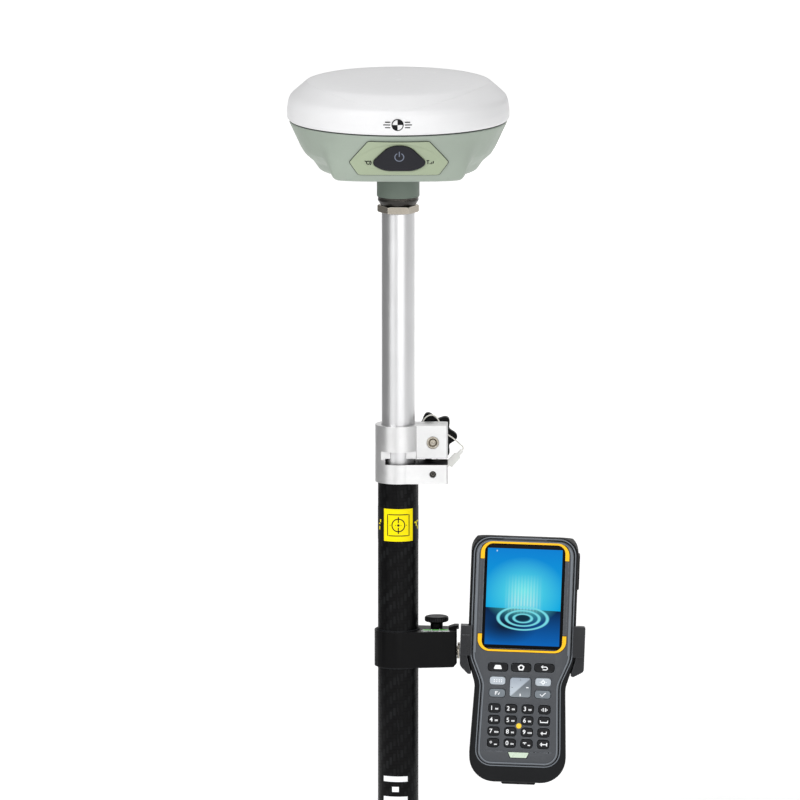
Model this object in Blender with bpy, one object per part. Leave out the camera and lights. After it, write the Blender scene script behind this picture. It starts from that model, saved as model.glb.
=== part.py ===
"""Surveying rover: a satellite receiver head on an extension tube, clamped to a carbon pole section,
with a bracket and cradle that hold a handheld controller.

Frame: metres, +Z up, origin on the pole axis at the shoulder of the lower joint, front towards -Y,
controller towards +X. Dimensions below are in millimetres.
"""
import math

import bmesh
import bpy
from mathutils import Matrix, Vector

MM = 0.001
GAP = 0.3  # running and seating gap between neighbouring pieces

# Pole, extension and clamp
LOWER_TUBE_R, LOWER_BORE_R = 17.8, 15.5
UPPER_TUBE_R, UPPER_BORE_R = 14.5, 12.5
FERRULE_TOP, STUD_R, STUD_LENGTH = 38.0, 7.9, 14.0
CLAMP_LOW, SLOT_LOW, SLOT_HIGH, CLAMP_HIGH = 328.8, 345.8, 350.4, 379.5
CLAMP_BOSS_R, CLAMP_END_X = 20.2, 43.6
LOWER_LUG_DEPTH, UPPER_LUG_DEPTH, REAR_DEPTH = 18.9, 12.0, 12.9
SCREW_X, SCREW_Z = 30.4, 364.5
KNOB_FRONT_Y, KNOB_BACK_Y, KNOB_R = 18.6, 28.6, 21.5
UPPER_TUBE_LOW, UPPER_TUBE_TOP = 200.0, 567.9

# Receiver head
NUT_LOW, NUT_HIGH, NUT_R = 568.2, 574.4, 18.25
HEAD_LOW, NECK_LOW, HOUSING_LOW = 575.1, 582.2, 605.1
NECK_R = 18.75
SEAM_Z, SEAM_R, SEAL_THICK = 649.6, 96.0, 0.8
WALL = 3.0
FRONT_SLOPE_R, FRONT_SLOPE_Z = 72.0, 611.0
PANEL_TILT = math.atan2(SEAM_R - FRONT_SLOPE_R, SEAM_Z - FRONT_SLOPE_Z)
PANEL_Z = 628.0
PORT_CENTRE = (0.0, 83.8, 630.0)
PORT_PAD_OUT = 1.4

# Bracket on the pole
BRACKET_LOW, BRACKET_HIGH, BRACKET_END_X = 164.9, 196.8, 51.6
LINER_INNER_R, LINER_OUTER_R = 18.1, 18.9
BAND_BORE_R, BAND_R = 19.2, 20.8
THUMB_X, THUMB_Y = 33.8, 2.0

# Controller and cradle, in the controller's own leaning frame
CONTROLLER_CENTRE = (108.1, 0.0, 172.2)
CONTROLLER_LEAN = math.radians(2.1)
CASE_FRONT, CASE_BACK = -14.5, 16.5
FACE_FRONT, FACE_BACK = -16.5, -13.3
CASE_OUTLINE = [(47, 108.4, 16), (47, -1, 26), (39.7, -25, 30), (42.4, -86, 60), (42.4, -110.4, 22)]
FACE_OUTLINE = [(43, 106, 13), (43, 1, 22), (33.6, -22, 22), (35.4, -78, 60), (35.4, -94, 12)]
CAVITY_OUTLINE = [(40, 102, 8), (40, 1, 18), (31.5, -22, 18), (33, -78, 40), (33, -92, 10)]
CASE_WALL = 3.5
SCREEN_CENTRE = (0.2, 55.9)
GLASS_SIZE, GLASS_CORNER = (70.5, 92.4), 5.0
SWIVEL_V = 3.3

SOFT_KEY, GREY_KEY, PAD_KEY, DIGIT_KEY = (17.3, 7.3), (13.9, 7.2), (18.6, 17.6), (10.2, 7.7)
KEY_CORNER = 2.6
KEY_PROUD = 0.6
SOFT_CENTRES = [(-20.2, -7.4), (0.2, -7.1), (20.6, -6.8)]
GREY_CENTRES = [(-20, -19.5), (20, -19.5), (-20, -30.5), (20, -30.5)]
PAD_CENTRE = (0.2, -25.0)
DIGIT_COLUMNS, DIGIT_ROWS = 4, 4
DIGIT_FIRST = (-21.9, -44.1)
DIGIT_STEP = (14.65, -10.3)


def clear_scene():
    for obj in list(bpy.data.objects):
        bpy.data.objects.remove(obj, do_unlink=True)


def make_material(name, colour, roughness, metallic=0.0):
    material = bpy.data.materials.new(name)
    material.use_nodes = True
    shader = material.node_tree.nodes["Principled BSDF"]
    shader.inputs["Base Color"].default_value = (*colour, 1.0)
    shader.inputs["Roughness"].default_value = roughness
    shader.inputs["Metallic"].default_value = metallic
    return material


def make_frame(name, centre, turn=None):
    """An empty whose axes carry a tilted group of pieces."""
    frame = bpy.data.objects.new(name, None)
    frame.matrix_world = Matrix.Translation(Vector(centre) * MM) @ (turn or Matrix.Identity(4))
    bpy.context.scene.collection.objects.link(frame)
    return frame


def finish_object(name, mesh_data, material, frame=None, pivot=(0.0, 0.0, 0.0)):
    """Turn a bmesh in millimetres into an object in metres whose origin sits at the pivot."""
    bmesh.ops.translate(mesh_data, verts=mesh_data.verts, vec=-Vector(pivot))
    bmesh.ops.scale(mesh_data, verts=mesh_data.verts, vec=(MM, MM, MM))
    bmesh.ops.recalc_face_normals(mesh_data, faces=mesh_data.faces)
    mesh = bpy.data.meshes.new(name)
    mesh_data.to_mesh(mesh)
    mesh_data.free()
    mesh.shade_smooth()
    mesh.set_sharp_from_angle(angle=math.radians(35))
    mesh.materials.append(material)
    obj = bpy.data.objects.new(name, mesh)
    bpy.context.scene.collection.objects.link(obj)
    obj.parent = frame
    obj.location = Vector(pivot) * MM
    return obj


def combine(obj, operation, name, solid, frame=None, solver="EXACT"):
    """Cut, join or intersect an object with a solid kept as a hidden tool in the same frame."""
    tool = finish_object(name + "_tool", solid, obj.data.materials[0], frame)
    tool.hide_render = True
    tool.display_type = "WIRE"
    step = obj.modifiers.new(tool.name, "BOOLEAN")
    step.operation = operation
    step.solver = solver
    step.object = tool


def cut(obj, name, solid, frame=None, solver="EXACT"):
    combine(obj, "DIFFERENCE", name, solid, frame, solver)


def join(obj, name, solid, frame=None):
    combine(obj, "UNION", name, solid, frame)


def soften(obj, width, segments):
    """Round the sharp edges of an object by a width in millimetres."""
    edge = obj.modifiers.new("soft_edge", "BEVEL")
    edge.width = width * MM
    edge.segments = segments
    edge.limit_method = "ANGLE"
    edge.angle_limit = math.radians(60)


def rounded(corners, steps=4):
    """A closed outline from (x, y, radius) corners, each rounded by an arc."""
    outline = []
    for index, (x, y, radius) in enumerate(corners):
        corner = Vector((x, y))
        before = Vector(corners[index - 1][:2]) - corner
        after = Vector(corners[(index + 1) % len(corners)][:2]) - corner
        before.normalize()
        after.normalize()
        half = before.angle(after) / 2
        if radius <= 0:
            outline.append((x, y))
            continue
        reach = radius / math.tan(half)
        middle = corner + (before + after).normalized() * (radius / math.sin(half))
        start = corner + before * reach - middle
        turn = -start.angle_signed(corner + after * reach - middle)
        for k in range(steps + 1):
            angle = turn * k / steps
            cosine, sine = math.cos(angle), math.sin(angle)
            outline.append((
                middle.x + start.x * cosine - start.y * sine,
                middle.y + start.x * sine + start.y * cosine,
            ))
    return outline


def rectangle(centre, size, radius=0.0):
    x, y = centre
    w, h = size[0] / 2, size[1] / 2
    return [(x + w, y + h, radius), (x - w, y + h, radius), (x - w, y - h, radius), (x + w, y - h, radius)]


def mirrored(half):
    """Corners down the right side, completed by the same corners up the left side."""
    return half + [(-x, y, radius) for x, y, radius in reversed(half)]


def polygon(radius, sides):
    """A regular polygon about the origin, first corner on +X."""
    angles = [2 * math.pi * k / sides for k in range(sides)]
    return [(radius * math.cos(angle), radius * math.sin(angle)) for angle in angles]


def prism(outline, low, high, along="z"):
    """A solid with the outline in the plane across the given axis."""
    place = {
        "x": lambda a, b, c: (c, a, b),
        "y": lambda a, b, c: (a, c, b),
        "z": lambda a, b, c: (a, b, c),
    }[along]
    solid = bmesh.new()
    bottom = [solid.verts.new(place(a, b, low)) for a, b in outline]
    top = [solid.verts.new(place(a, b, high)) for a, b in outline]
    solid.faces.new(bottom)
    solid.faces.new(top)
    for k in range(len(outline)):
        n = (k + 1) % len(outline)
        solid.faces.new((bottom[k], bottom[n], top[n], top[k]))
    return solid


def box(low, high):
    (x0, y0, z0), (x1, y1, z1) = low, high
    return prism([(x0, y0), (x1, y0), (x1, y1), (x0, y1)], z0, z1)


def lathe(profile, steps=36, centre=(0.0, 0.0), along="z"):
    """A turned solid from a closed (radius, height) profile; a zero radius closes at the axis."""
    solid = bmesh.new()

    def place(radius, height, k):
        angle = 2 * math.pi * (k + 0.5) / steps
        a = centre[0] + radius * math.cos(angle)
        b = centre[1] + radius * math.sin(angle)
        return {"x": (height, a, b), "y": (a, height, b), "z": (a, b, height)}[along]

    rings = []
    for radius, height in profile:
        if radius == 0:
            rings.append([solid.verts.new(place(0, height, 0))] * steps)
        else:
            rings.append([solid.verts.new(place(radius, height, k)) for k in range(steps)])
    for index, ring in enumerate(rings):
        following = rings[(index + 1) % len(rings)]
        for k in range(steps):
            n = (k + 1) % steps
            corners = list(dict.fromkeys((ring[k], ring[n], following[n], following[k])))
            if len(corners) > 2:
                solid.faces.new(corners)
    return solid


def rod(radius, low, high, steps=36, centre=(0.0, 0.0), along="z"):
    return lathe([(0, low), (radius, low), (radius, high), (0, high)], steps, centre, along)


def tube(inner, outer, low, high, steps=36):
    return lathe([(inner, low), (outer, low), (outer, high), (inner, high)], steps)


def smooth(low, high, value):
    t = min(max((value - low) / (high - low), 0.0), 1.0)
    return t * t * (3 - 2 * t)


def interpolate(stations, value):
    """Straight-line reading of a table of (position, size) pairs in rising order."""
    if value <= stations[0][0]:
        return stations[0][1]
    for (p0, s0), (p1, s1) in zip(stations, stations[1:]):
        if value <= p1:
            return s0 + (s1 - s0) * (value - p0) / (p1 - p0)
    return stations[-1][1]


FRONT_PROFILE = [(HOUSING_LOW, 66.0), (607.0, 69.0), (FRONT_SLOPE_Z, FRONT_SLOPE_R), (SEAM_Z, SEAM_R)]
SIDE_PROFILE = [(HOUSING_LOW, 64.0), (607.0, 69.0), (615.5, 75.0), (617.5, 77.5), (621.5, 82.0),
                (627.3, 85.6), (638.0, 90.6), (SEAM_Z, SEAM_R)]
HOUSING_LEVELS = (HOUSING_LOW, 607.0, FRONT_SLOPE_Z, 615.5, 617.5, 621.5, 627.3, 638.0, SEAM_Z)
SQUARENESS = 4.4  # power of the rounded square that the foot of the housing follows


def fascia_radius(height, angle):
    """Radius of the front and back fascias: round at the seam, nearly flat-faced at the foot."""
    forward, sideways = abs(math.sin(angle)), abs(math.cos(angle))
    square = (forward ** SQUARENESS + sideways ** SQUARENESS) ** (-1 / SQUARENESS)
    foot = 1 - smooth(HOUSING_LOW, SEAM_Z, height)
    return interpolate(FRONT_PROFILE, height) * (1 + (square - 1) * foot)


def housing_radius(height, angle):
    """Outer radius of the lower housing: sloping fascia front and back, stepped drum at the sides."""
    side = smooth(0.66, 0.82, abs(math.cos(angle)))
    front = fascia_radius(height, angle)
    return front + (interpolate(SIDE_PROFILE, height) - front) * side


def housing_solid(steps=64):
    solid = bmesh.new()

    def ring(height, inset):
        points = []
        for k in range(steps):
            angle = 2 * math.pi * (k + 0.5) / steps
            radius = housing_radius(height, angle) - inset
            points.append(solid.verts.new((radius * math.cos(angle), radius * math.sin(angle), height)))
        return points

    outside = [ring(height, 0.0) for height in HOUSING_LEVELS]
    inner_floor = HOUSING_LOW + WALL
    inside_levels = [height for height in reversed(HOUSING_LEVELS) if height > inner_floor]
    inside = [ring(height, WALL + (height < FRONT_SLOPE_Z + 5)) for height in inside_levels]
    rings = outside + inside
    floor = [solid.verts.new((v.co.x * 0.94, v.co.y * 0.94, inner_floor)) for v in inside[-1]]
    rings.append(floor)
    for lower, upper in zip(rings, rings[1:]):
        for k in range(steps):
            n = (k + 1) % steps
            solid.faces.new((lower[k], lower[n], upper[n], upper[k]))
    solid.faces.new(outside[0])
    solid.faces.new(floor)
    return solid


def fascia_point(u, w, depth):
    """A point of the front fascia, u across and w above the panel centre, pushed outwards by a depth."""
    height = PANEL_Z + w
    reach = interpolate(FRONT_PROFILE, height)
    for _ in range(12):
        radius = fascia_radius(height, math.atan2(reach, u))
        reach = math.sqrt(radius * radius - u * u)
    return (u, -reach - depth * math.cos(PANEL_TILT), height - depth * math.sin(PANEL_TILT))


def fascia_slab(below, above):
    """A slab that follows the front fascia between two depths."""
    columns, rows = 24, 12
    half_width, half_height = 48.0, 19.5
    solid = bmesh.new()
    layers = []
    for depth in (below, above):
        grid = []
        for j in range(rows + 1):
            w = -half_height + 2 * half_height * j / rows
            us = [-half_width + 2 * half_width * k / columns for k in range(columns + 1)]
            grid.append([solid.verts.new(fascia_point(u, w, depth)) for u in us])
        layers.append(grid)
        for lower, upper in zip(grid, grid[1:]):
            for k in range(columns):
                solid.faces.new((lower[k], lower[k + 1], upper[k + 1], upper[k]))
    rims = []
    for grid in layers:
        right = [row[-1] for row in grid[1:-1]]
        left = [row[0] for row in grid[-2:0:-1]]
        rims.append(grid[0] + right + grid[-1][::-1] + left)
    for k in range(len(rims[0])):
        n = (k + 1) % len(rims[0])
        solid.faces.new((rims[0][k], rims[0][n], rims[1][n], rims[1][k]))
    return solid


# Corners (x, height above the panel centre, fillet) of the front panel and its button
BEZEL_OUTLINE = [
    (27.1, 16.5, 3), (-26.4, 16.5, 3), (-42.8, -3.8, 2),
    (-34.8, -15.6, 3), (35.6, -15.6, 3), (44.2, -3.8, 2),
]
BUTTON_OUTLINE = [
    (26.0, -4.4, 4.2), (9.4, 13.0, 17), (-7.4, 13.0, 17),
    (-24.2, -4.4, 4.2), (-13.0, -11.4, 22), (15.0, -11.4, 22),
]


def panel_prism(corners, near=-112.0, far=-62.0):
    """A block with a front-panel outline, running straight back through the fascia."""
    outline = [(x, PANEL_Z + w) for x, w in rounded(corners)]
    return prism(outline, near, far, "y")


def grown(corners, amount):
    """The same outline pushed outwards from its centre by about the given amount."""
    xs = [corner[0] for corner in corners]
    ys = [corner[1] for corner in corners]
    cx, cy = (min(xs) + max(xs)) / 2, (min(ys) + max(ys)) / 2
    kx = 1 + 2 * amount / (max(xs) - min(xs))
    ky = 1 + 2 * amount / (max(ys) - min(ys))
    return [(cx + (x - cx) * kx, cy + (y - cy) * ky, radius + amount) for x, y, radius in corners]


def build_pole(mats):
    tube_low, tube_high = FERRULE_TOP + GAP, SLOT_LOW - GAP
    finish_object("lower_tube", tube(LOWER_BORE_R, LOWER_TUBE_R, tube_low, tube_high), mats["carbon"])
    plug_r, plug_top = LOWER_BORE_R - GAP, 60
    groove_r = STUD_R - 1.3
    ferrule = lathe([
        (0, -STUD_LENGTH), (STUD_R - 1.2, -STUD_LENGTH), (STUD_R, -STUD_LENGTH + 1.2), (STUD_R, -3.0),
        (groove_r, -2.4), (groove_r, 0), (LOWER_TUBE_R - 1.0, 0), (LOWER_TUBE_R, 1.0),
        (LOWER_TUBE_R, FERRULE_TOP), (plug_r, FERRULE_TOP), (plug_r, plug_top), (0, plug_top),
    ])
    finish_object("joint_ferrule", ferrule, mats["black_metal"])


def build_extension(mats):
    inner_r = UPPER_BORE_R - GAP
    extension = tube(UPPER_BORE_R, UPPER_TUBE_R, UPPER_TUBE_LOW, UPPER_TUBE_TOP)
    finish_object("upper_tube", extension, mats["aluminium"])
    foot_r, foot_low, foot_top = 15.2, 194, 212
    seat = UPPER_TUBE_LOW - GAP
    foot = [
        (0, foot_low), (foot_r, foot_low), (foot_r, seat), (inner_r, seat), (inner_r, foot_top),
        (0, foot_top),
    ]
    finish_object("tube_foot", lathe(foot, steps=24), mats["black_plastic"])
    plug_low, stud_top = 548, 594.2
    fitting = [
        (0, plug_low), (inner_r, plug_low), (inner_r, NUT_LOW), (STUD_R, NUT_LOW),
        (STUD_R, stud_top - 1.2), (STUD_R - 1.2, stud_top), (0, stud_top),
    ]
    finish_object("top_fitting", lathe(fitting, steps=24), mats["nickel"])
    nut = finish_object("lock_nut", prism(polygon(NUT_R, 6), NUT_LOW, NUT_HIGH), mats["nickel"])
    rim_r, face_r = NUT_R + 0.15, NUT_R - 2.05
    bevelled = [
        (0, NUT_LOW - 1), (face_r, NUT_LOW - 1), (rim_r, NUT_LOW + 1),
        (rim_r, NUT_HIGH - 1), (face_r, NUT_HIGH + 1), (0, NUT_HIGH + 1),
    ]
    combine(nut, "INTERSECT", "nut_chamfer", lathe(bevelled, 32))
    cut(nut, "nut_bore", rod(STUD_R + GAP, NUT_LOW - 2, NUT_HIGH + 2, 32))


def build_clamp(mats):
    d0, d1 = LOWER_LUG_DEPTH, UPPER_LUG_DEPTH
    end = CLAMP_END_X
    lower_lug = rounded([(end, REAR_DEPTH, 2), (-7, REAR_DEPTH, 0), (-7, -d0, 0), (end, -d0, 2)], 2)
    upper_lug = rounded([(end, d1, 2), (0, d1, 0), (0, -d1, 0), (end, -d1, 2)], 2)
    block = finish_object("clamp_block", rod(CLAMP_BOSS_R, CLAMP_LOW, CLAMP_HIGH), mats["aluminium"])
    join(block, "lower_lug", prism(lower_lug, CLAMP_LOW, SLOT_LOW))
    join(block, "upper_lug", prism(upper_lug, SLOT_HIGH, CLAMP_HIGH))
    middle = (SLOT_LOW + SLOT_HIGH) / 2
    screw, set_screw = (SCREW_X, SCREW_Z), (SCREW_X, 337.4)
    relief_top = 357.0
    cut(block, "lower_bore", rod(LOWER_TUBE_R + GAP, CLAMP_LOW - 1, middle))
    cut(block, "upper_bore", rod(UPPER_TUBE_R + GAP, middle - 1, CLAMP_HIGH + 1))
    cut(block, "slot", box((-11.4, -25, SLOT_LOW), (50, 25, SLOT_HIGH)))
    cut(block, "relief", box((-15, -25, SLOT_HIGH - 1), (30, -d1 - 1, relief_top)))
    cut(block, "split", box((10, -1, SLOT_HIGH - 1), (50, 1, CLAMP_HIGH + 1)))
    cut(block, "screw_bore", rod(3.6, -20, 20, 24, screw, "y"))
    cut(block, "nut_seat", rod(5.65, -20, -9.5, 24, screw, "y"))
    cut(block, "set_screw", rod(3.1, -22, -14, 16, set_screw, "y"))
    nut = [(0, -12.6), (4.8, -12.6), (5.35, -12.1), (5.35, -9.8), (0, -9.8)]
    finish_object("clamp_nut", lathe(nut, 24, screw, "y"), mats["nickel"])
    pivot = (SCREW_X, 0, SCREW_Z)
    shank_r, collar_r, collar_y = 3.2, 7.0, 12.3
    collar_end = KNOB_FRONT_Y - GAP
    shank = [
        (0, -9.5), (shank_r, -9.5), (shank_r, collar_y), (collar_r, collar_y),
        (collar_r, collar_end), (0, collar_end),
    ]
    finish_object("clamp_screw", lathe(shank, 24, screw, "y"), mats["nickel"], pivot=pivot)
    lobes, lobe_steps, lobe_height = 7, 42, 2.6
    star = []
    for k in range(lobe_steps):
        angle = 2 * math.pi * k / lobe_steps
        radius = KNOB_R - lobe_height + lobe_height * math.cos(lobes * angle)
        star.append((SCREW_X + radius * math.cos(angle), SCREW_Z + radius * math.sin(angle)))
    grip = prism(star, KNOB_FRONT_Y, KNOB_BACK_Y, "y")
    knob = finish_object("clamp_knob", grip, mats["black_plastic"], pivot=pivot)
    soften(knob, 1.5, 2)


# Guide points (x, z) of the tag string, from the toggle round the clamp screw and back
STRING_GUIDE = [
    (56.5, 353.9), (57.1, 354.9), (56.8, 356.6), (54.8, 358.6), (51.7, 361.4), (47.6, 364.8),
    (43.7, 367.4), (40.8, 370.5), (38.8, 374.6), (36.0, 379.2), (33.2, 383.4), (29.3, 384.9),
    (25.2, 383.6), (22.3, 380.2), (20.4, 374.5), (19.8, 366.0), (22.5, 357.0), (29.0, 350.5),
    (35.5, 344.5), (40.0, 340.0), (42.4, 338.8), (43.6, 339.3), (44.1, 340.1),
]
STRING_Y = REAR_DEPTH + 1.1
STRING_R = 0.6


def smooth_route(guide, samples=3):
    """A Catmull-Rom curve through the guide points."""
    route = []
    padded = [guide[0], *guide, guide[-1]]
    for spans in zip(padded, padded[1:], padded[2:], padded[3:]):
        for j in range(samples):
            t = j / samples
            point = []
            for a, b, c, d in zip(*spans):
                linear = (c - a) * t
                square = (2 * a - 5 * b + 4 * c - d) * t * t
                cube = (3 * b - a - 3 * c + d) * t ** 3
                point.append(0.5 * (2 * b + linear + square + cube))
            route.append(tuple(point))
    route.append(guide[-1])
    return route


def build_tag(mats):
    """A thin string looped round the clamp screw and closed by a small toggle at the right."""
    frame = make_frame("tag_frame", (48.4, STRING_Y, 344.9), Matrix.Rotation(math.radians(42), 4, "Y"))
    head, body = 1.7, 3.4
    outline = [
        (head, 11.6, 0.6), (-head, 11.6, 0.6), (-head, 6.5, 0.4), (-body, 5.6, 0.8),
        (-body, -6.0, 0.8), (body, -6.0, 0.8), (body, 5.6, 0.8), (head, 6.5, 0.4),
    ]
    finish_object("tag_toggle", prism(rounded(outline, 2), -0.9, 0.9, "y"), mats["white_plastic"], frame)
    route = smooth_route(STRING_GUIDE)
    curve = bpy.data.curves.new("tag_string", "CURVE")
    curve.dimensions = "3D"
    curve.bevel_depth = STRING_R * MM
    curve.bevel_resolution = 2
    curve.use_fill_caps = True
    line = curve.splines.new("POLY")
    line.points.add(len(route) - 1)
    for point, (x, z) in zip(line.points, route):
        point.co = (x * MM, STRING_Y * MM, z * MM, 1.0)
    curve.materials.append(mats["white_plastic"])
    string = bpy.data.objects.new("tag_string", curve)
    bpy.context.scene.collection.objects.link(string)


def build_head(mats):
    bore_r = STUD_R + GAP
    spacer_top, neck_top, neck_roof = NECK_LOW - GAP, HOUSING_LOW - GAP, 598
    spacer = [
        (bore_r, HEAD_LOW), (15.6, HEAD_LOW), (17.9, HEAD_LOW + 3.6), (17.9, spacer_top),
        (bore_r, spacer_top),
    ]
    finish_object("spacer_ring", lathe(spacer, steps=32), mats["black_plastic"])
    neck = [
        (bore_r, NECK_LOW), (NECK_R - 1.0, NECK_LOW), (NECK_R, NECK_LOW + 1.0), (NECK_R, neck_top),
        (0, neck_top), (0, neck_roof), (bore_r, neck_roof),
    ]
    finish_object("mount_neck", lathe(neck, steps=32), mats["green_dark"])
    housing = finish_object("base_housing", housing_solid(), mats["green"])
    back = make_frame("rear_panel_frame", PORT_CENTRE, Matrix.Rotation(-PANEL_TILT, 4, "X"))
    wide_button = grown(BUTTON_OUTLINE, 0.4)
    cut(housing, "button_pocket", panel_prism(wide_button))
    port_pad = rounded(rectangle((0, 0), (40, 25), 3), 3)
    port_hole = rounded(rectangle((0, 1), (26, 12), 3), 3)
    port_door = rounded(rectangle((0, 1), (34, 18), 3), 3)
    join(housing, "port_pad", prism(port_pad, -3.0, PORT_PAD_OUT, "y"), back)
    cut(housing, "port_hole", prism(port_hole, -8.0, 8.0, "y"), back)
    bezel = finish_object("front_bezel", panel_prism(BEZEL_OUTLINE), mats["green_light"])
    combine(bezel, "INTERSECT", "bezel_shell", fascia_slab(GAP, 1.7))
    cut(bezel, "bezel_hole", panel_prism(wide_button))
    button = finish_object("power_button", panel_prism(BUTTON_OUTLINE), mats["button"])
    combine(button, "INTERSECT", "button_shell", fascia_slab(-1.6, 3.0))
    door = prism(port_door, PORT_PAD_OUT + GAP, PORT_PAD_OUT + 2.8, "y")
    finish_object("port_cover", door, mats["black_plastic"], back, pivot=(0, 3.0, -9.0))
    seal_low = SEAM_Z + GAP
    seal = tube(88, SEAM_R - 0.4, seal_low, seal_low + SEAL_THICK, 48)
    finish_object("seal_ring", seal, mats["black_plastic"])
    build_radome(mats, seal_low + SEAL_THICK + GAP)
    finish_object("antenna_element", box((-40, -40, 668), (40, 40, 674)), mats["board"])
    finish_object("main_board", rod(70, 655, 657, 32), mats["board"])


def build_radome(mats, low):
    outer = [
        (96.2, low), (97.6, low + 1.6), (97.7, 659.5), (96.4, 668.0), (94.6, 672.0), (80.4, 684.1),
        (76.0, 685.3), (50.0, 686.9), (0, 687.7),
    ]
    inner = [
        (0, 684.4), (50.0, 683.6), (75.0, 681.6), (79.0, 680.0), (92.0, 669.4), (94.4, 659.0), (94.0, low),
    ]
    finish_object("radome", lathe(outer + inner, steps=48), mats["white"])


def build_bracket(mats):
    black = mats["black_plastic"]
    low, high = BRACKET_LOW, BRACKET_HIGH
    finish_object("bracket_liner", tube(LINER_INNER_R, LINER_OUTER_R, low - 1, high + 1), mats["rubber"])
    clamp = finish_object("bracket_clamp", rod(BAND_R, low, high), black)
    band = BAND_R - 0.1
    arm = [
        (BRACKET_END_X, 13.5, 1.5), (38, 16, 0), (2, band, 0), (2, -band, 0), (38, -16, 0),
        (BRACKET_END_X, -13.5, 1.5),
    ]
    tab = [(44.3, high - 1), (53.4, high + 0.8), (53.4, high + 3.8), (49.5, high + 3.8), (44.3, high + 2)]
    corner = [(47.6, low - 1), (53, low - 1), (53, low + 5.1)]
    join(clamp, "arm", prism(rounded(arm, 2), low, high))
    join(clamp, "tab", prism(tab, -5, 5, "y"))
    pin_z = CONTROLLER_CENTRE[2] + SWIVEL_V + 2.0
    cut(clamp, "band_bore", rod(BAND_BORE_R, low - 5, high + 5))
    cut(clamp, "corner", prism(corner, -20, 20, "y"))
    cut(clamp, "level_groove", box((21.7, -13.5, 194.3), (44.1, -8.5, 199.0)))
    cut(clamp, "thumb_bore", rod(3.3, 182, 199, 16, (THUMB_X, THUMB_Y)))
    cut(clamp, "pin_bore", rod(4.6, 40.5, 53, 24, (0, pin_z), "x"))
    vial = [
        (-8.8, 194.6), (-8.8, 196.6), (-9.6, 197.7), (-11.0, 198.2), (-12.4, 197.7), (-13.2, 196.6),
        (-13.2, 194.6),
    ]
    finish_object("bubble_level", prism(vial, 22.0, 43.8, "x"), mats["vial"])
    shank_low, neck_low = 184, high + GAP
    knob = [
        (0, shank_low), (3.0, shank_low), (3.0, neck_low), (5.4, neck_low), (5.4, 202.0), (7.0, 203.4),
        (10.0, 203.4), (10.5, 204.2), (10.5, 207.0), (9.6, 208.0), (0, 208.4),
    ]
    pivot = (THUMB_X, THUMB_Y, shank_low)
    finish_object("bracket_knob", lathe(knob, 24, (THUMB_X, THUMB_Y)), black, pivot=pivot)


def build_cradle(mats, frame):
    """The plate behind the controller with its fixed left side, the sliding right jaw and their guide."""
    black = mats["black_plastic"]
    pivot = (-54.9, 0, SWIVEL_V)
    plate_outline = [
        (46.9, 27, 3), (-53.9, 27, 1), (-53.9, -4.5, 1), (-42, -14, 4), (34, -14, 4), (42, -9, 4),
        (46.9, 2, 3),
    ]
    left_wall = [
        (-48.0, 28.9, 0), (-53.9, 28.9, 2), (-53.9, -7.5, 6), (-45.6, -15.6, 2.5), (-43.6, -14.2, 0),
        (-47.8, 0.5, 0),
    ]
    left_lip = [(-44.3, 28.9, 1), (-53.9, 28.9, 2), (-53.9, 2.4, 1), (-44.3, 2.4, 1)]
    right_wall = [
        (55.4, 31.3, 2), (48.0, 31.3, 0), (47.8, 0.5, 0), (44.0, -13.4, 0), (45.6, -14.8, 2), (55.4, -9.4, 4),
    ]
    right_lip = [(55.4, 31.3, 2), (44.7, 31.3, 1), (44.7, 4.0, 1), (55.4, 4.0, 1)]
    tongue = [(55.0, 15, 0), (8, 15, 3), (8, -3, 3), (55.0, -3, 0)]
    guide_outline = [(38, 21, 3), (-2, 21, 3), (-2, -9, 3), (38, -9, 3)]
    lip_front, wall_front, overlap = -18.8, -15.0, 0.2
    plate_front, plate_back = 17.0, 21.0
    tongue_front, tongue_back = 21.4, 23.8

    plate = finish_object("cradle_plate", prism(rounded(plate_outline, 3), plate_front, plate_back, "y"),
                          black, frame, pivot)
    join(plate, "left_wall", prism(rounded(left_wall, 3), wall_front, plate_back - 0.5, "y"), frame)
    join(plate, "left_lip", prism(rounded(left_lip, 3), lip_front, wall_front + overlap, "y"), frame)
    jaw = finish_object("sliding_jaw", prism(rounded(right_wall, 3), wall_front, tongue_back + 0.2, "y"),
                        black, frame)
    join(jaw, "right_lip", prism(rounded(right_lip, 3), lip_front, wall_front + overlap, "y"), frame)
    join(jaw, "tongue", prism(rounded(tongue, 3), tongue_front, tongue_back, "y"), frame)
    for target in (plate, jaw):
        roof = prism([(-13, 29.6), (30, 22.0), (30, 50), (-13, 50)], -70, 70, "x")
        cut(target, target.name + "_roof", roof, frame)
    guide = finish_object("jaw_guide", prism(rounded(guide_outline, 3), plate_back + GAP, 27.5, "y"),
                          mats["black_metal"], frame)
    cut(guide, "channel", box((0.5, 18, -3.5), (60, tongue_back + 0.7, 15.5)), frame)
    pin = [(0, -64.5), (4.1, -64.5), (4.1, -56.2), (7.2, -56.2), (7.2, -54.2), (0, -54.2)]
    finish_object("swivel_pin", lathe(pin, 24, (0, SWIVEL_V), "x"), mats["nickel"], frame, pivot)


def key_list():
    """Name, centre and size of every key on the controller."""
    keys = [(f"key_soft_{k}", centre, SOFT_KEY) for k, centre in enumerate(SOFT_CENTRES)]
    keys += [(f"key_side_{k}", centre, GREY_KEY) for k, centre in enumerate(GREY_CENTRES)]
    keys.append(("key_pad", PAD_CENTRE, PAD_KEY))
    for row in range(DIGIT_ROWS):
        for column in range(DIGIT_COLUMNS):
            centre = (DIGIT_FIRST[0] + DIGIT_STEP[0] * column, DIGIT_FIRST[1] + DIGIT_STEP[1] * row)
            keys.append((f"key_digit_{row}{column}", centre, DIGIT_KEY))
    return keys


def face_block(centre, size, radius, front, back, steps=2):
    """A flat rounded block facing the front."""
    return prism(rounded(rectangle(centre, size, radius), steps), front, back, "y")


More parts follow.
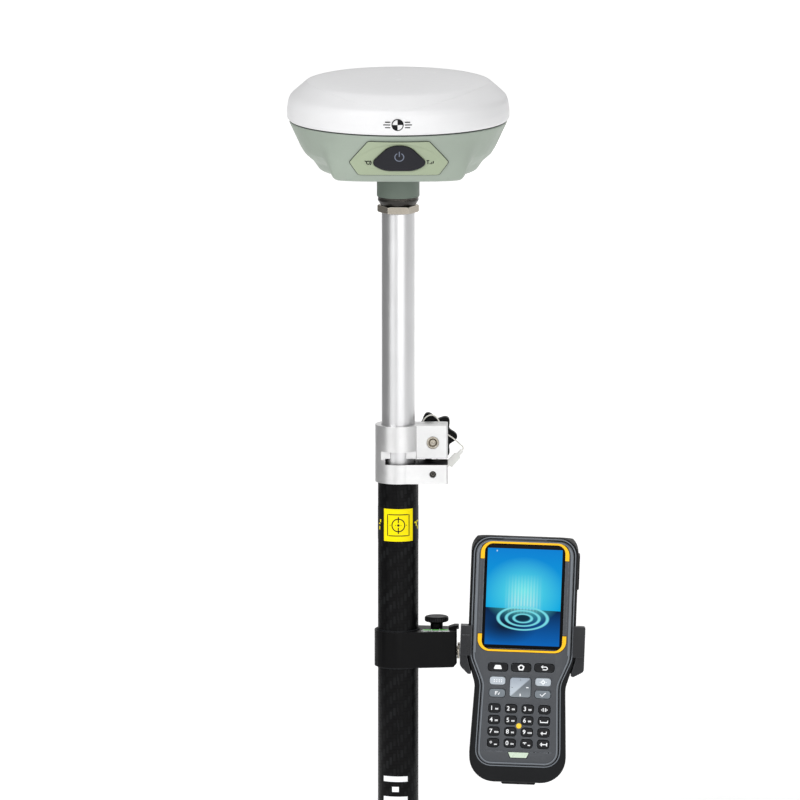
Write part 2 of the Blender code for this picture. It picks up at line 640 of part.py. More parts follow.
def seat_corners():
    """The outline of the face with a gap all round."""
    around = []
    for x, y, radius in mirrored(FACE_OUTLINE):
        at_end = math.copysign(GAP, y) if abs(y) > 90 else 0.0
        around.append((x + math.copysign(GAP, x), y + at_end, radius))
    return around


def build_case(mats, frame):
    outline = rounded(mirrored(CASE_OUTLINE))
    case = finish_object("controller_case", prism(outline, CASE_FRONT, CASE_BACK, "y"), mats["rubber"], frame)
    soften(case, 2.5, 2)
    join(case, "dock", face_block((1.5, -110.0), (30, 6), 1.5, -7, 7), frame)
    join(case, "side_pad", face_block((46.8, 77.5), (3.2, 31), 1.2, -6, 6), frame)
    roof = prism([(-8, 108.6), (20, 102.9), (20, 125), (-8, 125)], -60, 60, "x")
    cut(case, "roof", roof, frame)
    seat_floor = FACE_BACK + GAP
    seat = prism(rounded(seat_corners()), -30, seat_floor, "y")
    cavity = prism(rounded(mirrored(CAVITY_OUTLINE)), seat_floor - GAP, CASE_BACK - CASE_WALL, "y")
    cut(case, "face_seat", seat, frame, "MANIFOLD")
    cut(case, "cavity", cavity, frame)


def build_face(mats, frame):
    sheet = prism(rounded(mirrored(FACE_OUTLINE)), FACE_FRONT, FACE_BACK, "y")
    face = finish_object("controller_face", sheet, mats["face_grey"], frame)
    opening_size = (GLASS_SIZE[0] + 2 * GAP, GLASS_SIZE[1] + 2 * GAP)
    opening = face_block(SCREEN_CENTRE, opening_size, GLASS_CORNER + GAP, -20, -10, 3)
    cut(face, "screen_opening", opening, frame)
    key_gap = 0.45
    for name, centre, (w, h) in key_list():
        hole = face_block(centre, (w + 2 * key_gap, h + 2 * key_gap), KEY_CORNER + 0.3, -20, -10)
        cut(face, name + "_hole", hole, frame)
        shade = "key_pale" if name.startswith("key_side") or name == "key_pad" else "key_dark"
        cap = face_block(centre, (w, h), KEY_CORNER, FACE_FRONT - KEY_PROUD, FACE_BACK - KEY_PROUD)
        finish_object(name, cap, mats[shade], frame, pivot=(centre[0], FACE_FRONT, centre[1]))


def build_controller(mats, frame):
    build_case(mats, frame)
    build_face(mats, frame)
    window = face_block(SCREEN_CENTRE, GLASS_SIZE, GLASS_CORNER, FACE_FRONT + 0.1, FACE_FRONT + 1.3, 3)
    display = face_block(SCREEN_CENTRE, (68, 90), 1, FACE_FRONT + 1.6, FACE_FRONT + 3.9, 1)
    mat = face_block((0, -41.5), (60, 78), 3, FACE_BACK + 0.8, FACE_BACK + 2.0)
    battery = face_block((0, 20), (58, 84), 2, -5, 8)
    finish_object("screen_window", window, mats["glass"], frame)
    finish_object("display_panel", display, mats["display"], frame)
    finish_object("keypad_mat", mat, mats["rubber"], frame)
    finish_object("controller_battery", battery, mats["black_plastic"], frame)


def build_materials():
    return {
        "carbon": make_material("carbon", (0.012, 0.012, 0.013), 0.35),
        "black_metal": make_material("black_metal", (0.02, 0.02, 0.02), 0.35, 0.6),
        "aluminium": make_material("aluminium", (0.82, 0.83, 0.84), 0.35, 0.9),
        "nickel": make_material("nickel", (0.62, 0.59, 0.53), 0.28, 1.0),
        "black_plastic": make_material("black_plastic", (0.012, 0.012, 0.013), 0.5),
        "rubber": make_material("rubber", (0.018, 0.019, 0.021), 0.65),
        "white_plastic": make_material("white_plastic", (0.85, 0.85, 0.83), 0.45),
        "white": make_material("white", (0.86, 0.87, 0.88), 0.42),
        "green": make_material("green", (0.42, 0.49, 0.43), 0.5),
        "green_dark": make_material("green_dark", (0.135, 0.17, 0.14), 0.5),
        "green_light": make_material("green_light", (0.48, 0.56, 0.38), 0.45),
        "button": make_material("button", (0.032, 0.032, 0.037), 0.45),
        "board": make_material("board", (0.02, 0.10, 0.05), 0.5),
        "face_grey": make_material("face_grey", (0.075, 0.08, 0.093), 0.5),
        "key_dark": make_material("key_dark", (0.02, 0.021, 0.024), 0.4),
        "key_pale": make_material("key_pale", (0.5, 0.56, 0.62), 0.35),
        "glass": make_material("glass", (0.01, 0.01, 0.012), 0.08),
        "display": make_material("display", (0.01, 0.27, 0.62), 0.3),
        "vial": make_material("vial", (0.35, 0.75, 0.25), 0.15),
    }


def main():
    clear_scene()
    mats = build_materials()
    build_pole(mats)
    build_extension(mats)
    build_clamp(mats)
    build_tag(mats)
    build_head(mats)
    build_bracket(mats)
    frame = make_frame("controller_frame", CONTROLLER_CENTRE, Matrix.Rotation(CONTROLLER_LEAN, 4, "Y"))
    build_cradle(mats, frame)
    build_controller(mats, frame)


main()
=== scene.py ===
"""Looks for the satellite-receiver rover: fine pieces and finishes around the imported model.

Shape code works in millimetres; a piece becomes metres when it is made.
"""
import math

import bmesh
import bpy
from mathutils import Matrix, Vector


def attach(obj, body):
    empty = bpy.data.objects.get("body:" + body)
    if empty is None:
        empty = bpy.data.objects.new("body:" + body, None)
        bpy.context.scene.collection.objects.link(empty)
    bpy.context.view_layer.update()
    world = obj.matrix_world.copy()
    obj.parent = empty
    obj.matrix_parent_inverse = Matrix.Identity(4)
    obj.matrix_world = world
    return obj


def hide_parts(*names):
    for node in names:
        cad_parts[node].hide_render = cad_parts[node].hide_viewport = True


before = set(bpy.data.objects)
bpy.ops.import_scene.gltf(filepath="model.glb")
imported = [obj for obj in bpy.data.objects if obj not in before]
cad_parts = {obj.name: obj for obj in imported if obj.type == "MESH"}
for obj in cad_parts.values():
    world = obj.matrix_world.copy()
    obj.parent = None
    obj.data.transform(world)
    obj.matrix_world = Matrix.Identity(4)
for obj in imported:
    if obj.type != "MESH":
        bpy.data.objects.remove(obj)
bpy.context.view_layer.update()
scene = bpy.context.scene
MM = 0.001
WHITE = (1.0, 1.0, 1.0, 1.0)

# Sizes that several shapes or finishes share.
TUBE_R = 14.5
CARBON_R = 17.8
BAND_R = 97.62
CLAMP_LOW, SLOT_LOW, SLOT_HIGH, CLAMP_HIGH = 328.8, 345.8, 350.4, 379.5
SLOT_MIDDLE = (SLOT_LOW + SLOT_HIGH) / 2
SLOT_END = -11.4
FACE_Y, CASE_FRONT, CASE_BACK = -16.5, -14.5, 16.5


# ---------------------------------------------------------------- finishes

def rgb(red, green, blue):
    """A display colour, 0 to 255 a channel, as the linear colour a shader takes."""
    def linear(value):
        value /= 255
        return value / 12.92 if value <= 0.04045 else ((value + 0.055) / 1.055) ** 2.4
    return (linear(red), linear(green), linear(blue), 1.0)


def scaled(colour, factor):
    return tuple(min(1.0, channel * factor) for channel in colour[:3]) + (1.0,)


class Graph:
    """A material under construction."""

    def __init__(self, name, material=None):
        self.material = material or bpy.data.materials.new(name)
        self.material.use_nodes = True
        self.tree = self.material.node_tree
        self.shader = self.tree.nodes["Principled BSDF"]

    def put(self, socket, value):
        if isinstance(value, bpy.types.NodeSocket):
            self.tree.links.new(value, socket)
        else:
            socket.default_value = value

    def node(self, kind, inputs=(), **settings):
        node = self.tree.nodes.new("ShaderNode" + kind)
        for key, value in settings.items():
            setattr(node, key, value)
        for key, value in dict(inputs).items():
            self.put(node.inputs[key], value)
        return node

    def set(self, **inputs):
        for key, value in inputs.items():
            self.put(self.shader.inputs[key.replace("_", " ")], value)

    def math(self, operation, *values):
        return self.node("Math", dict(enumerate(values)), operation=operation).outputs[0]

    def plus(self, first, second):
        return self.math("ADD", first, second)

    def minus(self, first, second):
        return self.math("SUBTRACT", first, second)

    def times(self, first, *others):
        for other in others:
            first = self.math("MULTIPLY", first, other)
        return first

    def split(self, vector):
        return self.node("SeparateXYZ", {0: vector}).outputs[:3]

    def mix(self, factor, first, second):
        return self.node("Mix", {0: factor, 6: first, 7: second}, data_type="RGBA").outputs[2]

    def fit(self, value, low, high, to_low=0.0, to_high=1.0):
        return self.node("MapRange", {0: value, 1: low, 2: high, 3: to_low, 4: to_high}).outputs[0]

    def place(self, stretch=(1, 1, 1)):
        """The piece's own coordinates, stretched so that patterns run longer along a small factor."""
        where = self.node("TexCoord").outputs["Object"]
        return self.node("Mapping", {"Vector": where, "Scale": stretch}).outputs[0]

    def noise(self, where, size, detail=2.0):
        """Noise whose features are about the given size in millimetres."""
        return self.node("TexNoise", {"Vector": where, "Scale": 1 / (size * MM), "Detail": detail}).outputs[0]

    def bump(self, height, strength, depth):
        inputs = {"Height": height, "Strength": strength, "Distance": depth * MM}
        return self.node("Bump", inputs).outputs[0]

    def edges(self, radius):
        """1 on edges that stand proud or meet sharply, 0 on open surface."""
        eased = self.node("Bevel", {"Radius": radius * MM}, samples=4).outputs[0]
        plain = self.node("NewGeometry").outputs["Normal"]
        aligned = self.node("VectorMath", {0: eased, 1: plain}, operation="DOT_PRODUCT").outputs["Value"]
        return self.fit(aligned, 0.995, 0.9)


def finish(name, colour, roughness, metal=0.0, grain=0.3, relief=0.12, mottle=0.05, drift=0.07,
           stretch=(1, 1, 1), wear=None, scuffs=0.0, turned=False, spec=0.5, **sockets):
    """A moulded, painted or machined surface: fine grain, uneven gloss, faint blotches, lighter edges.

    The colour and the edge colour are display colours; the edge colour stands partly for worn edges and
    partly for a painted edge highlight.
    """
    g = Graph(name)
    colour = rgb(*colour)
    along = g.place(stretch)
    still = g.place()
    fine = g.noise(along, grain, 3.0)
    patch = g.noise(still, 22.0, 4.0)
    streak = g.noise(along, grain * 9, 2.0)
    tone = g.mix(g.fit(patch, 0.3, 0.7), scaled(colour, 1 - mottle), scaled(colour, 1 + mottle))
    tone = g.mix(g.fit(fine, 0.35, 0.65, 0.0, 0.5), tone, scaled(colour, 1 - 2 * mottle))
    gloss = g.fit(g.plus(g.times(patch, 0.5), g.times(streak, 0.5)),
                  0.35, 0.65, roughness - drift, roughness + drift)
    normal = g.bump(fine, relief, 0.25)
    if scuffs:
        lines = g.node("TexNoise", {"Vector": g.place((1, 1, 0.06)), "Scale": 900.0,
                                    "Detail": 2.0}).outputs[0]
        marks = g.times(g.fit(lines, 0.66, 0.72), g.fit(patch, 0.45, 0.6))
        gloss = g.plus(gloss, g.times(marks, scuffs))
        tone = g.mix(g.times(marks, scuffs), tone, scaled(colour, 1.5))
    # Lighter edges: partly worn edges, partly a painted highlight along the edges.
    if wear:
        rub = g.times(g.edges(0.7), g.fit(g.noise(still, 3.0, 3.0), 0.35, 0.7, 0.25, 1.0))
        tone = g.mix(rub, tone, rgb(*wear))
    g.set(Base_Color=tone, Roughness=gloss, Normal=normal, Metallic=metal, Specular_IOR_Level=spec)
    if turned:
        around = g.node("Tangent", direction_type="RADIAL", axis="Z").outputs[0]
        g.set(Tangent=around, Anisotropic=0.5, Anisotropic_Rotation=0.25)
    g.set(**sockets)
    return g.material


def machined_finish(name, colour, roughness, **rest):
    """Bare machined metal, with painted shade on the faces of the saw-cut slot."""
    g = Graph(name, finish(name, colour, roughness, **rest))
    x, _, z = g.split(g.place())
    from_slot = g.math("ABSOLUTE", g.minus(z, SLOT_MIDDLE * MM))
    half_slot = (SLOT_HIGH - SLOT_LOW) / 2 + 0.06
    within = g.times(g.math("LESS_THAN", from_slot, half_slot * MM),
                     g.math("GREATER_THAN", x, (SLOT_END - 0.05) * MM))
    bare = g.shader.inputs["Base Color"].links[0].from_socket
    # The slot faces take a dark grey: painted shade for the shadow inside the slot.
    g.set(Base_Color=g.mix(within, bare, rgb(38, 38, 39)))
    return g.material


def carbon_finish():
    """Twill-woven carbon tows round the tube under a clear coat."""
    g = Graph("carbon_weave")
    x, y, z = g.split(g.place())
    tow, strands_per_tow = 3.4 * MM, 50.0
    round_tows = g.math("DIVIDE", g.times(g.math("ARCTAN2", x, y), CARBON_R * MM), tow)
    up_tows = g.math("DIVIDE", z, tow)
    step = g.plus(g.math("FLOOR", round_tows), g.math("FLOOR", up_tows))
    over = g.math("LESS_THAN", g.math("MODULO", g.plus(step, 400.0), 4.0), 1.9)

    def crown(position):
        within = g.minus(g.math("FRACT", position), 0.5)
        return g.minus(1.0, g.times(within, within, 4.0))

    def tow_height(position):
        strands = g.times(g.math("SINE", g.times(position, strands_per_tow)), 0.12)
        return g.plus(crown(position), strands)

    weft_height, warp_height = tow_height(up_tows), tow_height(round_tows)
    height = g.node("Mix", {0: over, 2: weft_height, 3: warp_height}).outputs[0]
    blotch = g.fit(g.noise(g.place((1, 1, 0.5)), 9.0, 3.0), 0.35, 0.65)
    # Tows of one direction are lighter than tows of the other: a painted sheen for the way fibre direction
    # catches light. Tone also darkens towards each tow's edges.
    light = g.mix(over, rgb(11, 11, 12), rgb(26, 27, 28))
    light = g.mix(blotch, light, rgb(12, 12, 13))
    tone = g.mix(g.fit(height, 0.1, 0.8), rgb(6, 6, 7), light)
    gloss = g.fit(height, 0.0, 1.0, 0.5, 0.3)
    g.set(Base_Color=tone, Roughness=gloss, Normal=g.bump(height, 0.5, 0.12), Metallic=0.0,
          Specular_IOR_Level=0.06, Coat_Weight=0.05, Coat_Roughness=0.16)
    return g.material


def screen_finish():
    """A lit generic wallpaper: blue depth, a soft glow with light shafts, rings on a floor, a few sparks."""
    g = Graph("screen_picture")
    where = g.node("TexCoord").outputs["UV"]
    u, v, _ = g.split(where)
    sky = g.mix(g.fit(v, 0.36, 1.0), rgb(0, 172, 228), rgb(3, 130, 213))
    ground = g.mix(g.fit(v, 0.0, 0.36), rgb(0, 100, 186), rgb(1, 38, 78))
    picture = g.mix(g.math("GREATER_THAN", g.plus(v, g.times(u, 0.02)), 0.385), ground, sky)

    def oval(centre_u, centre_v, wide, tall):
        du = g.math("DIVIDE", g.minus(u, centre_u), wide)
        dv = g.math("DIVIDE", g.minus(v, centre_v), tall)
        return g.math("SQRT", g.plus(g.times(du, du), g.times(dv, dv)))

    glow = g.fit(oval(0.5, 0.56, 0.56, 0.36), 1.0, 0.0)
    picture = g.mix(g.times(glow, 0.95), picture, rgb(92, 232, 236))
    shade = g.fit(oval(0.26, 0.2, 0.46, 0.2), 1.0, 0.1)
    picture = g.mix(g.times(shade, 0.92), picture, rgb(0, 15, 34))
    shafts = g.fit(g.math("SINE", g.times(u, 150.0)), -1.0, 1.0, 0.25, 1.0)
    sides = g.fit(g.math("ABSOLUTE", g.minus(u, 0.5)), 0.26, 0.12)
    rise = g.times(g.fit(v, 0.32, 0.42), g.fit(v, 0.74, 0.45))
    beam = g.times(shafts, sides, rise)
    picture = g.mix(g.times(beam, 0.6), picture, rgb(205, 245, 240))
    for wide, width in ((0.12, 0.22), (0.22, 0.13), (0.33, 0.09)):
        ring = oval(0.5, 0.28, wide, wide * 0.36)
        line = g.fit(g.math("ABSOLUTE", g.minus(ring, 1.0)), width, width * 0.35)
        picture = g.mix(line, picture, rgb(120, 222, 232))
    hole = g.fit(oval(0.5, 0.285, 0.095, 0.032), 1.1, 0.85)
    picture = g.mix(hole, picture, rgb(2, 46, 66))
    cells = g.node("TexVoronoi", {"Vector": where, "Scale": 6.0}, feature="F1")
    spark = g.times(g.fit(cells.outputs["Distance"], 0.075, 0.03), g.fit(v, 0.5, 0.75))
    chosen = g.math("GREATER_THAN", g.node("SeparateColor", {0: cells.outputs["Color"]}).outputs[0], 0.62)
    picture = g.mix(g.times(spark, chosen), picture, rgb(225, 245, 255))
    gloss = g.fit(g.noise(g.place(), 0.3, 1.0), 0.3, 0.7, 0.08, 0.16)
    g.set(Base_Color=(0.0, 0.0, 0.0, 1.0), Emission_Color=picture, Emission_Strength=0.97, Roughness=gloss,
          Specular_IOR_Level=0.06)
    return g.material


def pad_finish():
    """A silvered thumb pad with a painted reflection: brighter above its diagonal than below, each half
    darker towards the top.
    """
    g = Graph("thumb_pad")
    where = g.node("TexCoord").outputs["UV"]
    u, v, _ = g.split(where)
    side = g.minus(v, u)
    # Painted reflection: a lit copy of the silver above the diagonal and a shaded copy below.
    bright = g.mix(g.fit(v, 0.4, 1.0), rgb(178, 187, 196), rgb(150, 159, 171))
    painted_shade_half = g.mix(g.fit(v, 0.0, 0.6), rgb(128, 136, 142), rgb(98, 105, 112))
    tone = g.mix(g.fit(side, -0.03, 0.05), painted_shade_half, bright)
    fine = g.noise(g.place(), 0.35, 3.0)
    g.set(Base_Color=tone, Metallic=0.15, Roughness=g.fit(fine, 0.3, 0.7, 0.3, 0.42),
          Normal=g.bump(fine, 0.08, 0.2))
    return g.material


ROUND_UP = (1, 1, 0.05)
ACROSS = (0.08, 1, 1)
FINISH = {
    "white": finish("radome_white", (229, 229, 230), 0.42, grain=0.7, relief=0.14, mottle=0.012, scuffs=0.1),
    "green": finish("sage_paint", (154, 165, 153), 0.44, grain=0.55, relief=0.16, mottle=0.025, scuffs=0.1,
                    wear=(186, 196, 186)),
    "green_dark": finish("neck_paint", (101, 113, 103), 0.5, grain=0.4, mottle=0.03, wear=(140, 152, 140)),
    "bezel": finish("bezel_green", (158, 170, 143), 0.4, grain=0.4, relief=0.1, mottle=0.02),
    "button": finish("button_rubber", (37, 37, 42), 0.5, grain=0.35, relief=0.2, mottle=0.06, spec=0.15),
    "symbol": finish("symbol_grey", (112, 120, 138), 0.45),
    "ink": finish("black_ink", (20, 20, 23), 0.45, mottle=0.1, spec=0.12),
    "white_ink": finish("white_ink", (244, 246, 248), 0.5, mottle=0.02),
    "black": finish("black_moulding", (10, 10, 11), 0.42, grain=0.55, relief=0.3, mottle=0.1, drift=0.09,
                    wear=(52, 52, 54), scuffs=0.2, spec=0.09),
    # The black lips' lighter edge colour is a painted sheen for their highlight band.
    "satin_black": finish("black_lip", (32, 33, 36), 0.32, grain=0.6, relief=0.2, mottle=0.08,
                          wear=(104, 105, 110), scuffs=0.3, spec=0.3),
    # The case's lighter edge colour is partly a painted highlight along its edges.
    "rubber": finish("overmould", (22, 23, 25), 0.5, grain=0.5, relief=0.35, mottle=0.1, wear=(64, 67, 72),
                     spec=0.14),
    "dark_metal": finish("black_anodised", (60, 58, 56), 0.34, metal=0.75, stretch=ROUND_UP, mottle=0.1,
                         wear=(140, 134, 126)),
    "nickel": finish("nickel_plate", (172, 165, 153), 0.24, metal=1.0, grain=0.5, relief=0.08, mottle=0.06,
                     wear=(240, 236, 226)),
    "tube": finish("satin_tube", (219, 219, 220), 0.36, turned=True, metal=1.0, grain=0.35, relief=0.06,
                   mottle=0.015, stretch=ROUND_UP, scuffs=0.15),
    "machined": machined_finish("machined_aluminium", (222, 222, 222), 0.42, turned=True, metal=0.95,
                                relief=0.14, mottle=0.03, stretch=ACROSS, wear=(250, 250, 250)),
    "nylon": finish("white_nylon", (238, 238, 234), 0.45, mottle=0.03),
    "cotton": finish("cotton_string", (236, 234, 226), 0.8, grain=0.5, relief=0.6, mottle=0.08,
                     Sheen_Weight=0.3),
    "yellow": finish("yellow_marker", (246, 226, 0), 0.42, grain=0.5, mottle=0.03, spec=0.12),
    "trim": finish("yellow_trim", (252, 192, 20), 0.38, relief=0.1, mottle=0.04, spec=0.25),
    "face": finish("face_grey", (62, 65, 70), 0.5, grain=0.4, relief=0.3, mottle=0.06, wear=(122, 128, 134)),
    "rail": finish("rail_grey", (106, 112, 119), 0.42, grain=0.4, relief=0.2, mottle=0.06),
    "key_black": finish("key_black", (20, 21, 24), 0.32, mottle=0.08, wear=(92, 97, 104), spec=0.2),
    "key_grey": finish("key_silver", (176, 184, 192), 0.34, metal=0.2, relief=0.08, wear=(226, 232, 238)),
    "key_slate": finish("key_slate", (112, 120, 127), 0.34, metal=0.2, relief=0.08, wear=(196, 203, 210)),
    "glass": finish("black_glass", (6, 7, 8), 0.14, grain=0.6, relief=0.02, mottle=0.1, drift=0.05,
                    spec=0.06),
    "seal": finish("seal_rubber", (44, 50, 46), 0.6, relief=0.2, mottle=0.08),
    "level": finish("level_vial", (120, 225, 110), 0.12, grain=0.8, relief=0.03, mottle=0.1, Coat_Weight=0.8,
                    Coat_Roughness=0.05, Transmission_Weight=0.25),
    "foil": finish("level_foil", (196, 200, 198), 0.3, metal=0.9, grain=1.3, relief=0.9, mottle=0.25),
    "badge": finish("badge_green", (200, 216, 196), 0.3, metal=0.2),
    "dot": finish("yellow_dot", (252, 206, 40), 0.3, mottle=0.04),
    "board": finish("board_green", (24, 74, 48), 0.45, grain=0.5, mottle=0.12),
    "carbon": carbon_finish(),
    "screen": screen_finish(),
    "pad": pad_finish(),
}


# ---------------------------------------------------------------- shapes

def rounded(corners, steps=8):
    """A closed outline from (x, y, radius) corners, each rounded by an arc."""
    outline = []
    for index, (x, y, radius) in enumerate(corners):
        corner = Vector((x, y))
        before = (Vector(corners[index - 1][:2]) - corner).normalized()
        after = (Vector(corners[(index + 1) % len(corners)][:2]) - corner).normalized()
        half = before.angle(after) / 2
        if radius <= 0 or half > 1.55:
            outline.append((x, y))
            continue
        reach = radius / math.tan(half)
        middle = corner + (before + after).normalized() * (radius / math.sin(half))
        start = corner + before * reach - middle
        turn = -start.angle_signed(corner + after * reach - middle)
        for k in range(steps + 1):
            angle = turn * k / steps
            cosine, sine = math.cos(angle), math.sin(angle)
            outline.append((middle.x + start.x * cosine - start.y * sine,
                            middle.y + start.x * sine + start.y * cosine))
    return outline


def rectangle(centre, size, radius=0.0, steps=6):
    x, y = centre
    w, h = size[0] / 2, size[1] / 2
    return rounded([(x + w, y + h, radius), (x - w, y + h, radius), (x - w, y - h, radius),
                    (x + w, y - h, radius)], steps)


def mirrored(half):
    """A closed outline from the corners of its right side."""
    return half + [(-x, y, radius) for x, y, radius in reversed(half)]


def spun(radius, turns, centre=(0.0, 0.0)):
    """Points at a radius round a centre, one for each angle."""
    return [(centre[0] + radius * math.cos(a), centre[1] + radius * math.sin(a)) for a in turns]


def circle(radius, steps=48, centre=(0.0, 0.0)):
    return spun(radius, [2 * math.pi * k / steps for k in range(steps)], centre)


def arc(radius, start, end, steps=20, centre=(0.0, 0.0)):
    """Points from a start to an end given in degrees."""
    return spun(radius, [math.radians(start + (end - start) * k / steps) for k in range(steps + 1)], centre)


def offset(outline, du, dv):
    return [(u + du, v + dv) for u, v in outline]


def grown(corners, amount):
    """An outline scaled about its middle until it is wider by an amount on every side."""
    xs = [corner[0] for corner in corners]
    ys = [corner[1] for corner in corners]
    cx, cy = (min(xs) + max(xs)) / 2, (min(ys) + max(ys)) / 2
    kx = 1 + 2 * amount / (max(xs) - min(xs))
    ky = 1 + 2 * amount / (max(ys) - min(ys))
    return [(cx + (x - cx) * kx, cy + (y - cy) * ky, radius + amount) for x, y, radius in corners]


def loft(rings, loop=False):
    """A solid through rings of points, capped at both ends or closed on itself."""
    solid = bmesh.new()
    rows = [[solid.verts.new(point) for point in ring] for ring in rings]
    pairs = list(zip(rows, rows[1:])) + ([(rows[-1], rows[0])] if loop else [])
    for lower, upper in pairs:
        for k in range(len(lower)):
            n = (k + 1) % len(lower)
            solid.faces.new((lower[k], lower[n], upper[n], upper[k]))
    if not loop:
        solid.faces.new(rows[0])
        solid.faces.new(rows[-1])
    return solid


PLACES = {
    "x": lambda a, b, c: (c, a, b),
    "y": lambda a, b, c: (a, c, b),
    "z": lambda a, b, c: (a, b, c),
}


def plaque(outline, at, low, high):
    """A solid between two copies of a flat outline; at(u, v, depth) gives the place of a flat point."""
    return loft([[at(u, v, low) for u, v in outline], [at(u, v, high) for u, v in outline]])


def prism(outline, low, high, along="z"):
    return plaque(outline, PLACES[along], low, high)


def plate(corners, low, high, steps=8):
    """A flat plate with rounded corners that faces along y."""
    return prism(rounded(corners, steps), low, high, "y")


def block(centre, size, radius, low, high):
    """A rectangular plate that faces along y."""
    return prism(rectangle(centre, size, radius), low, high, "y")


def box(low, high):
    return prism([(low[0], low[1]), (high[0], low[1]), (high[0], high[1]), (low[0], high[1])], low[2],
                 high[2])


def lathe(profile, steps=96, centre=(0.0, 0.0), along="z"):
    """A turned solid from a closed outline of (radius, height, fillet) corners."""
    points = rounded([(*corner, 0)[:3] for corner in profile], 5)
    solid = bmesh.new()
    place = PLACES[along]
    rings = []
    for radius, height in points:
        if radius <= 1e-6:
            rings.append([solid.verts.new(place(centre[0], centre[1], height))] * steps)
            continue
        ring = [place(x, y, height) for x, y in circle(radius, steps, centre)]
        rings.append([solid.verts.new(point) for point in ring])
    for index, ring in enumerate(rings):
        following = rings[(index + 1) % len(rings)]
        for k in range(steps):
            n = (k + 1) % steps
            corners = list(dict.fromkeys((ring[k], ring[n], following[n], following[k])))
            if len(corners) > 2:
                solid.faces.new(corners)
    return solid


def sleeve(inner, outer, low, high, steps=96, centre=(0.0, 0.0), along="z", edges=(0, 0)):
    """A turned ring, or a rod where the inner radius is 0; edges are the fillets of its outer rims."""
    return lathe([(inner, low), (outer, low, edges[0]), (outer, high, edges[1]), (inner, high)],
                 steps, centre, along)


def linked(name, solid):
    """A scene object made from a solid, which is used up."""
    mesh = bpy.data.meshes.new(name)
    solid.to_mesh(mesh)
    solid.free()
    obj = bpy.data.objects.new(name, mesh)
    scene.collection.objects.link(obj)
    return obj


def temporary(solid):
    bmesh.ops.recalc_face_normals(solid, faces=solid.faces)
    return linked("temporary", solid)


def settle(obj, tools=()):
    """The finished shape of an object as a solid; the object and its tools are removed."""
    mesh = bpy.data.meshes.new_from_object(obj.evaluated_get(bpy.context.evaluated_depsgraph_get()))
    result = bmesh.new()
    result.from_mesh(mesh)
    for used in (obj, *tools):
        bpy.data.objects.remove(used, do_unlink=True)
    return result


def carve(solid, *steps, solver="EXACT"):
    """Join or cut a solid with others: steps are (operation, solid) pairs."""
    target = temporary(solid)
    tools = []
    for operation, tool in steps:
        tools.append(temporary(tool))
        step = target.modifiers.new("step", "BOOLEAN")
        step.operation = {"+": "UNION", "-": "DIFFERENCE", "&": "INTERSECT"}[operation]
        step.solver = solver
        step.object = tools[-1]
    return settle(target, tools)


def ease(solid, width, segments=2, angle=38):
    """Round the edges of a solid that turn more sharply than the angle."""
    target = temporary(solid)
    edge = target.modifiers.new("edge", "BEVEL")
    edge.width = width
    edge.segments = segments
    edge.limit_method = "ANGLE"
    edge.angle_limit = math.radians(angle)
    return settle(target)


def piece(name, solid, look, body, *nodes, slot=None, place=None, sharp=35, uv=None):
    """Make a visible object from a solid, or a list of solids, in millimetres and let it ride on a body.

    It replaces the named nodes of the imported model.
    """
    if isinstance(solid, list):
        solid = merged(solid)
    bmesh.ops.recalc_face_normals(solid, faces=solid.faces)
    if uv:
        layer = solid.loops.layers.uv.new("UVMap")
        for face in solid.faces:
            for loop in face.loops:
                loop[layer].uv = uv(loop.vert.co)
    bmesh.ops.transform(solid, matrix=Matrix.Scale(MM, 4), verts=solid.verts)
    if place:
        bmesh.ops.transform(solid, matrix=place, verts=solid.verts)
    obj = linked(name, solid)
    obj.data.shade_smooth()
    obj.data.set_sharp_from_angle(angle=math.radians(sharp))
    obj.data.materials.append(FINISH[look])
    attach(obj, body)
    if nodes:
        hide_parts(*nodes)
    return obj


def merged(solids):
    """Several separate solids as one."""
    whole = bmesh.new()
    for solid in solids:
        mesh = bpy.data.meshes.new("part")
        bmesh.ops.recalc_face_normals(solid, faces=solid.faces)
        solid.to_mesh(mesh)
        solid.free()
        whole.from_mesh(mesh)
        bpy.data.meshes.remove(mesh)
    return whole


def socket_head(centre, radius, low, high, edges, socket_radius, socket):
    """A round screw head along y with a hexagon socket."""
    return carve(sleeve(0, radius, low, high, 32, centre, "y", edges),
                 ("-", prism(circle(socket_radius, 6, centre), *socket, "y")))


def ribbon(points, width, at, low, high, closed=False):
    """A thin raised line along flat points; at(u, v, depth) gives the place of a flat point."""
    flat = [Vector(point) for point in points]
    count = len(flat)
    sides = []
    for k, point in enumerate(flat):
        before = flat[(k - 1) % count] if closed else flat[max(k - 1, 0)]
        after = flat[(k + 1) % count] if closed else flat[min(k + 1, count - 1)]
        run = (after - before).normalized()
        across = Vector((-run.y, run.x)) * width / 2
        sides.append((point - across, point + across))
    rings = [[at(left.x, left.y, low), at(right.x, right.y, low), at(right.x, right.y, high),
              at(left.x, left.y, high)] for left, right in sides]
    return loft(rings, closed)


def wrapped(radius, origin, turning):
    """A place function that wraps flat points round a cylinder; turning is the length for one radian."""
    def at(u, v, depth):
        angle = (u - origin[0]) / turning
        return Vector(((radius + depth) * math.sin(angle), -(radius + depth) * math.cos(angle),
                       origin[1] + v))
    return at


def polar(outline, steps):
    """The outline seen from its origin at evenly spread angles."""
    result = []
    for k in range(steps):
        angle = 2 * math.pi * k / steps
        ray = Vector((math.cos(angle), math.sin(angle)))
        reach = 0.0
        for i, corner in enumerate(outline):
            a, b = Vector(corner), Vector(outline[(i + 1) % len(outline)])
            side = b - a
            cross = ray.x * side.y - ray.y * side.x
            if abs(cross) < 1e-9:
                continue
            distance = (a.x * side.y - a.y * side.x) / cross
            along = (a.x * ray.y - a.y * ray.x) / cross
            if distance > 0 and -1e-6 <= along <= 1 + 1e-6:
                reach = max(reach, distance)
        result.append(ray * reach)
    return result


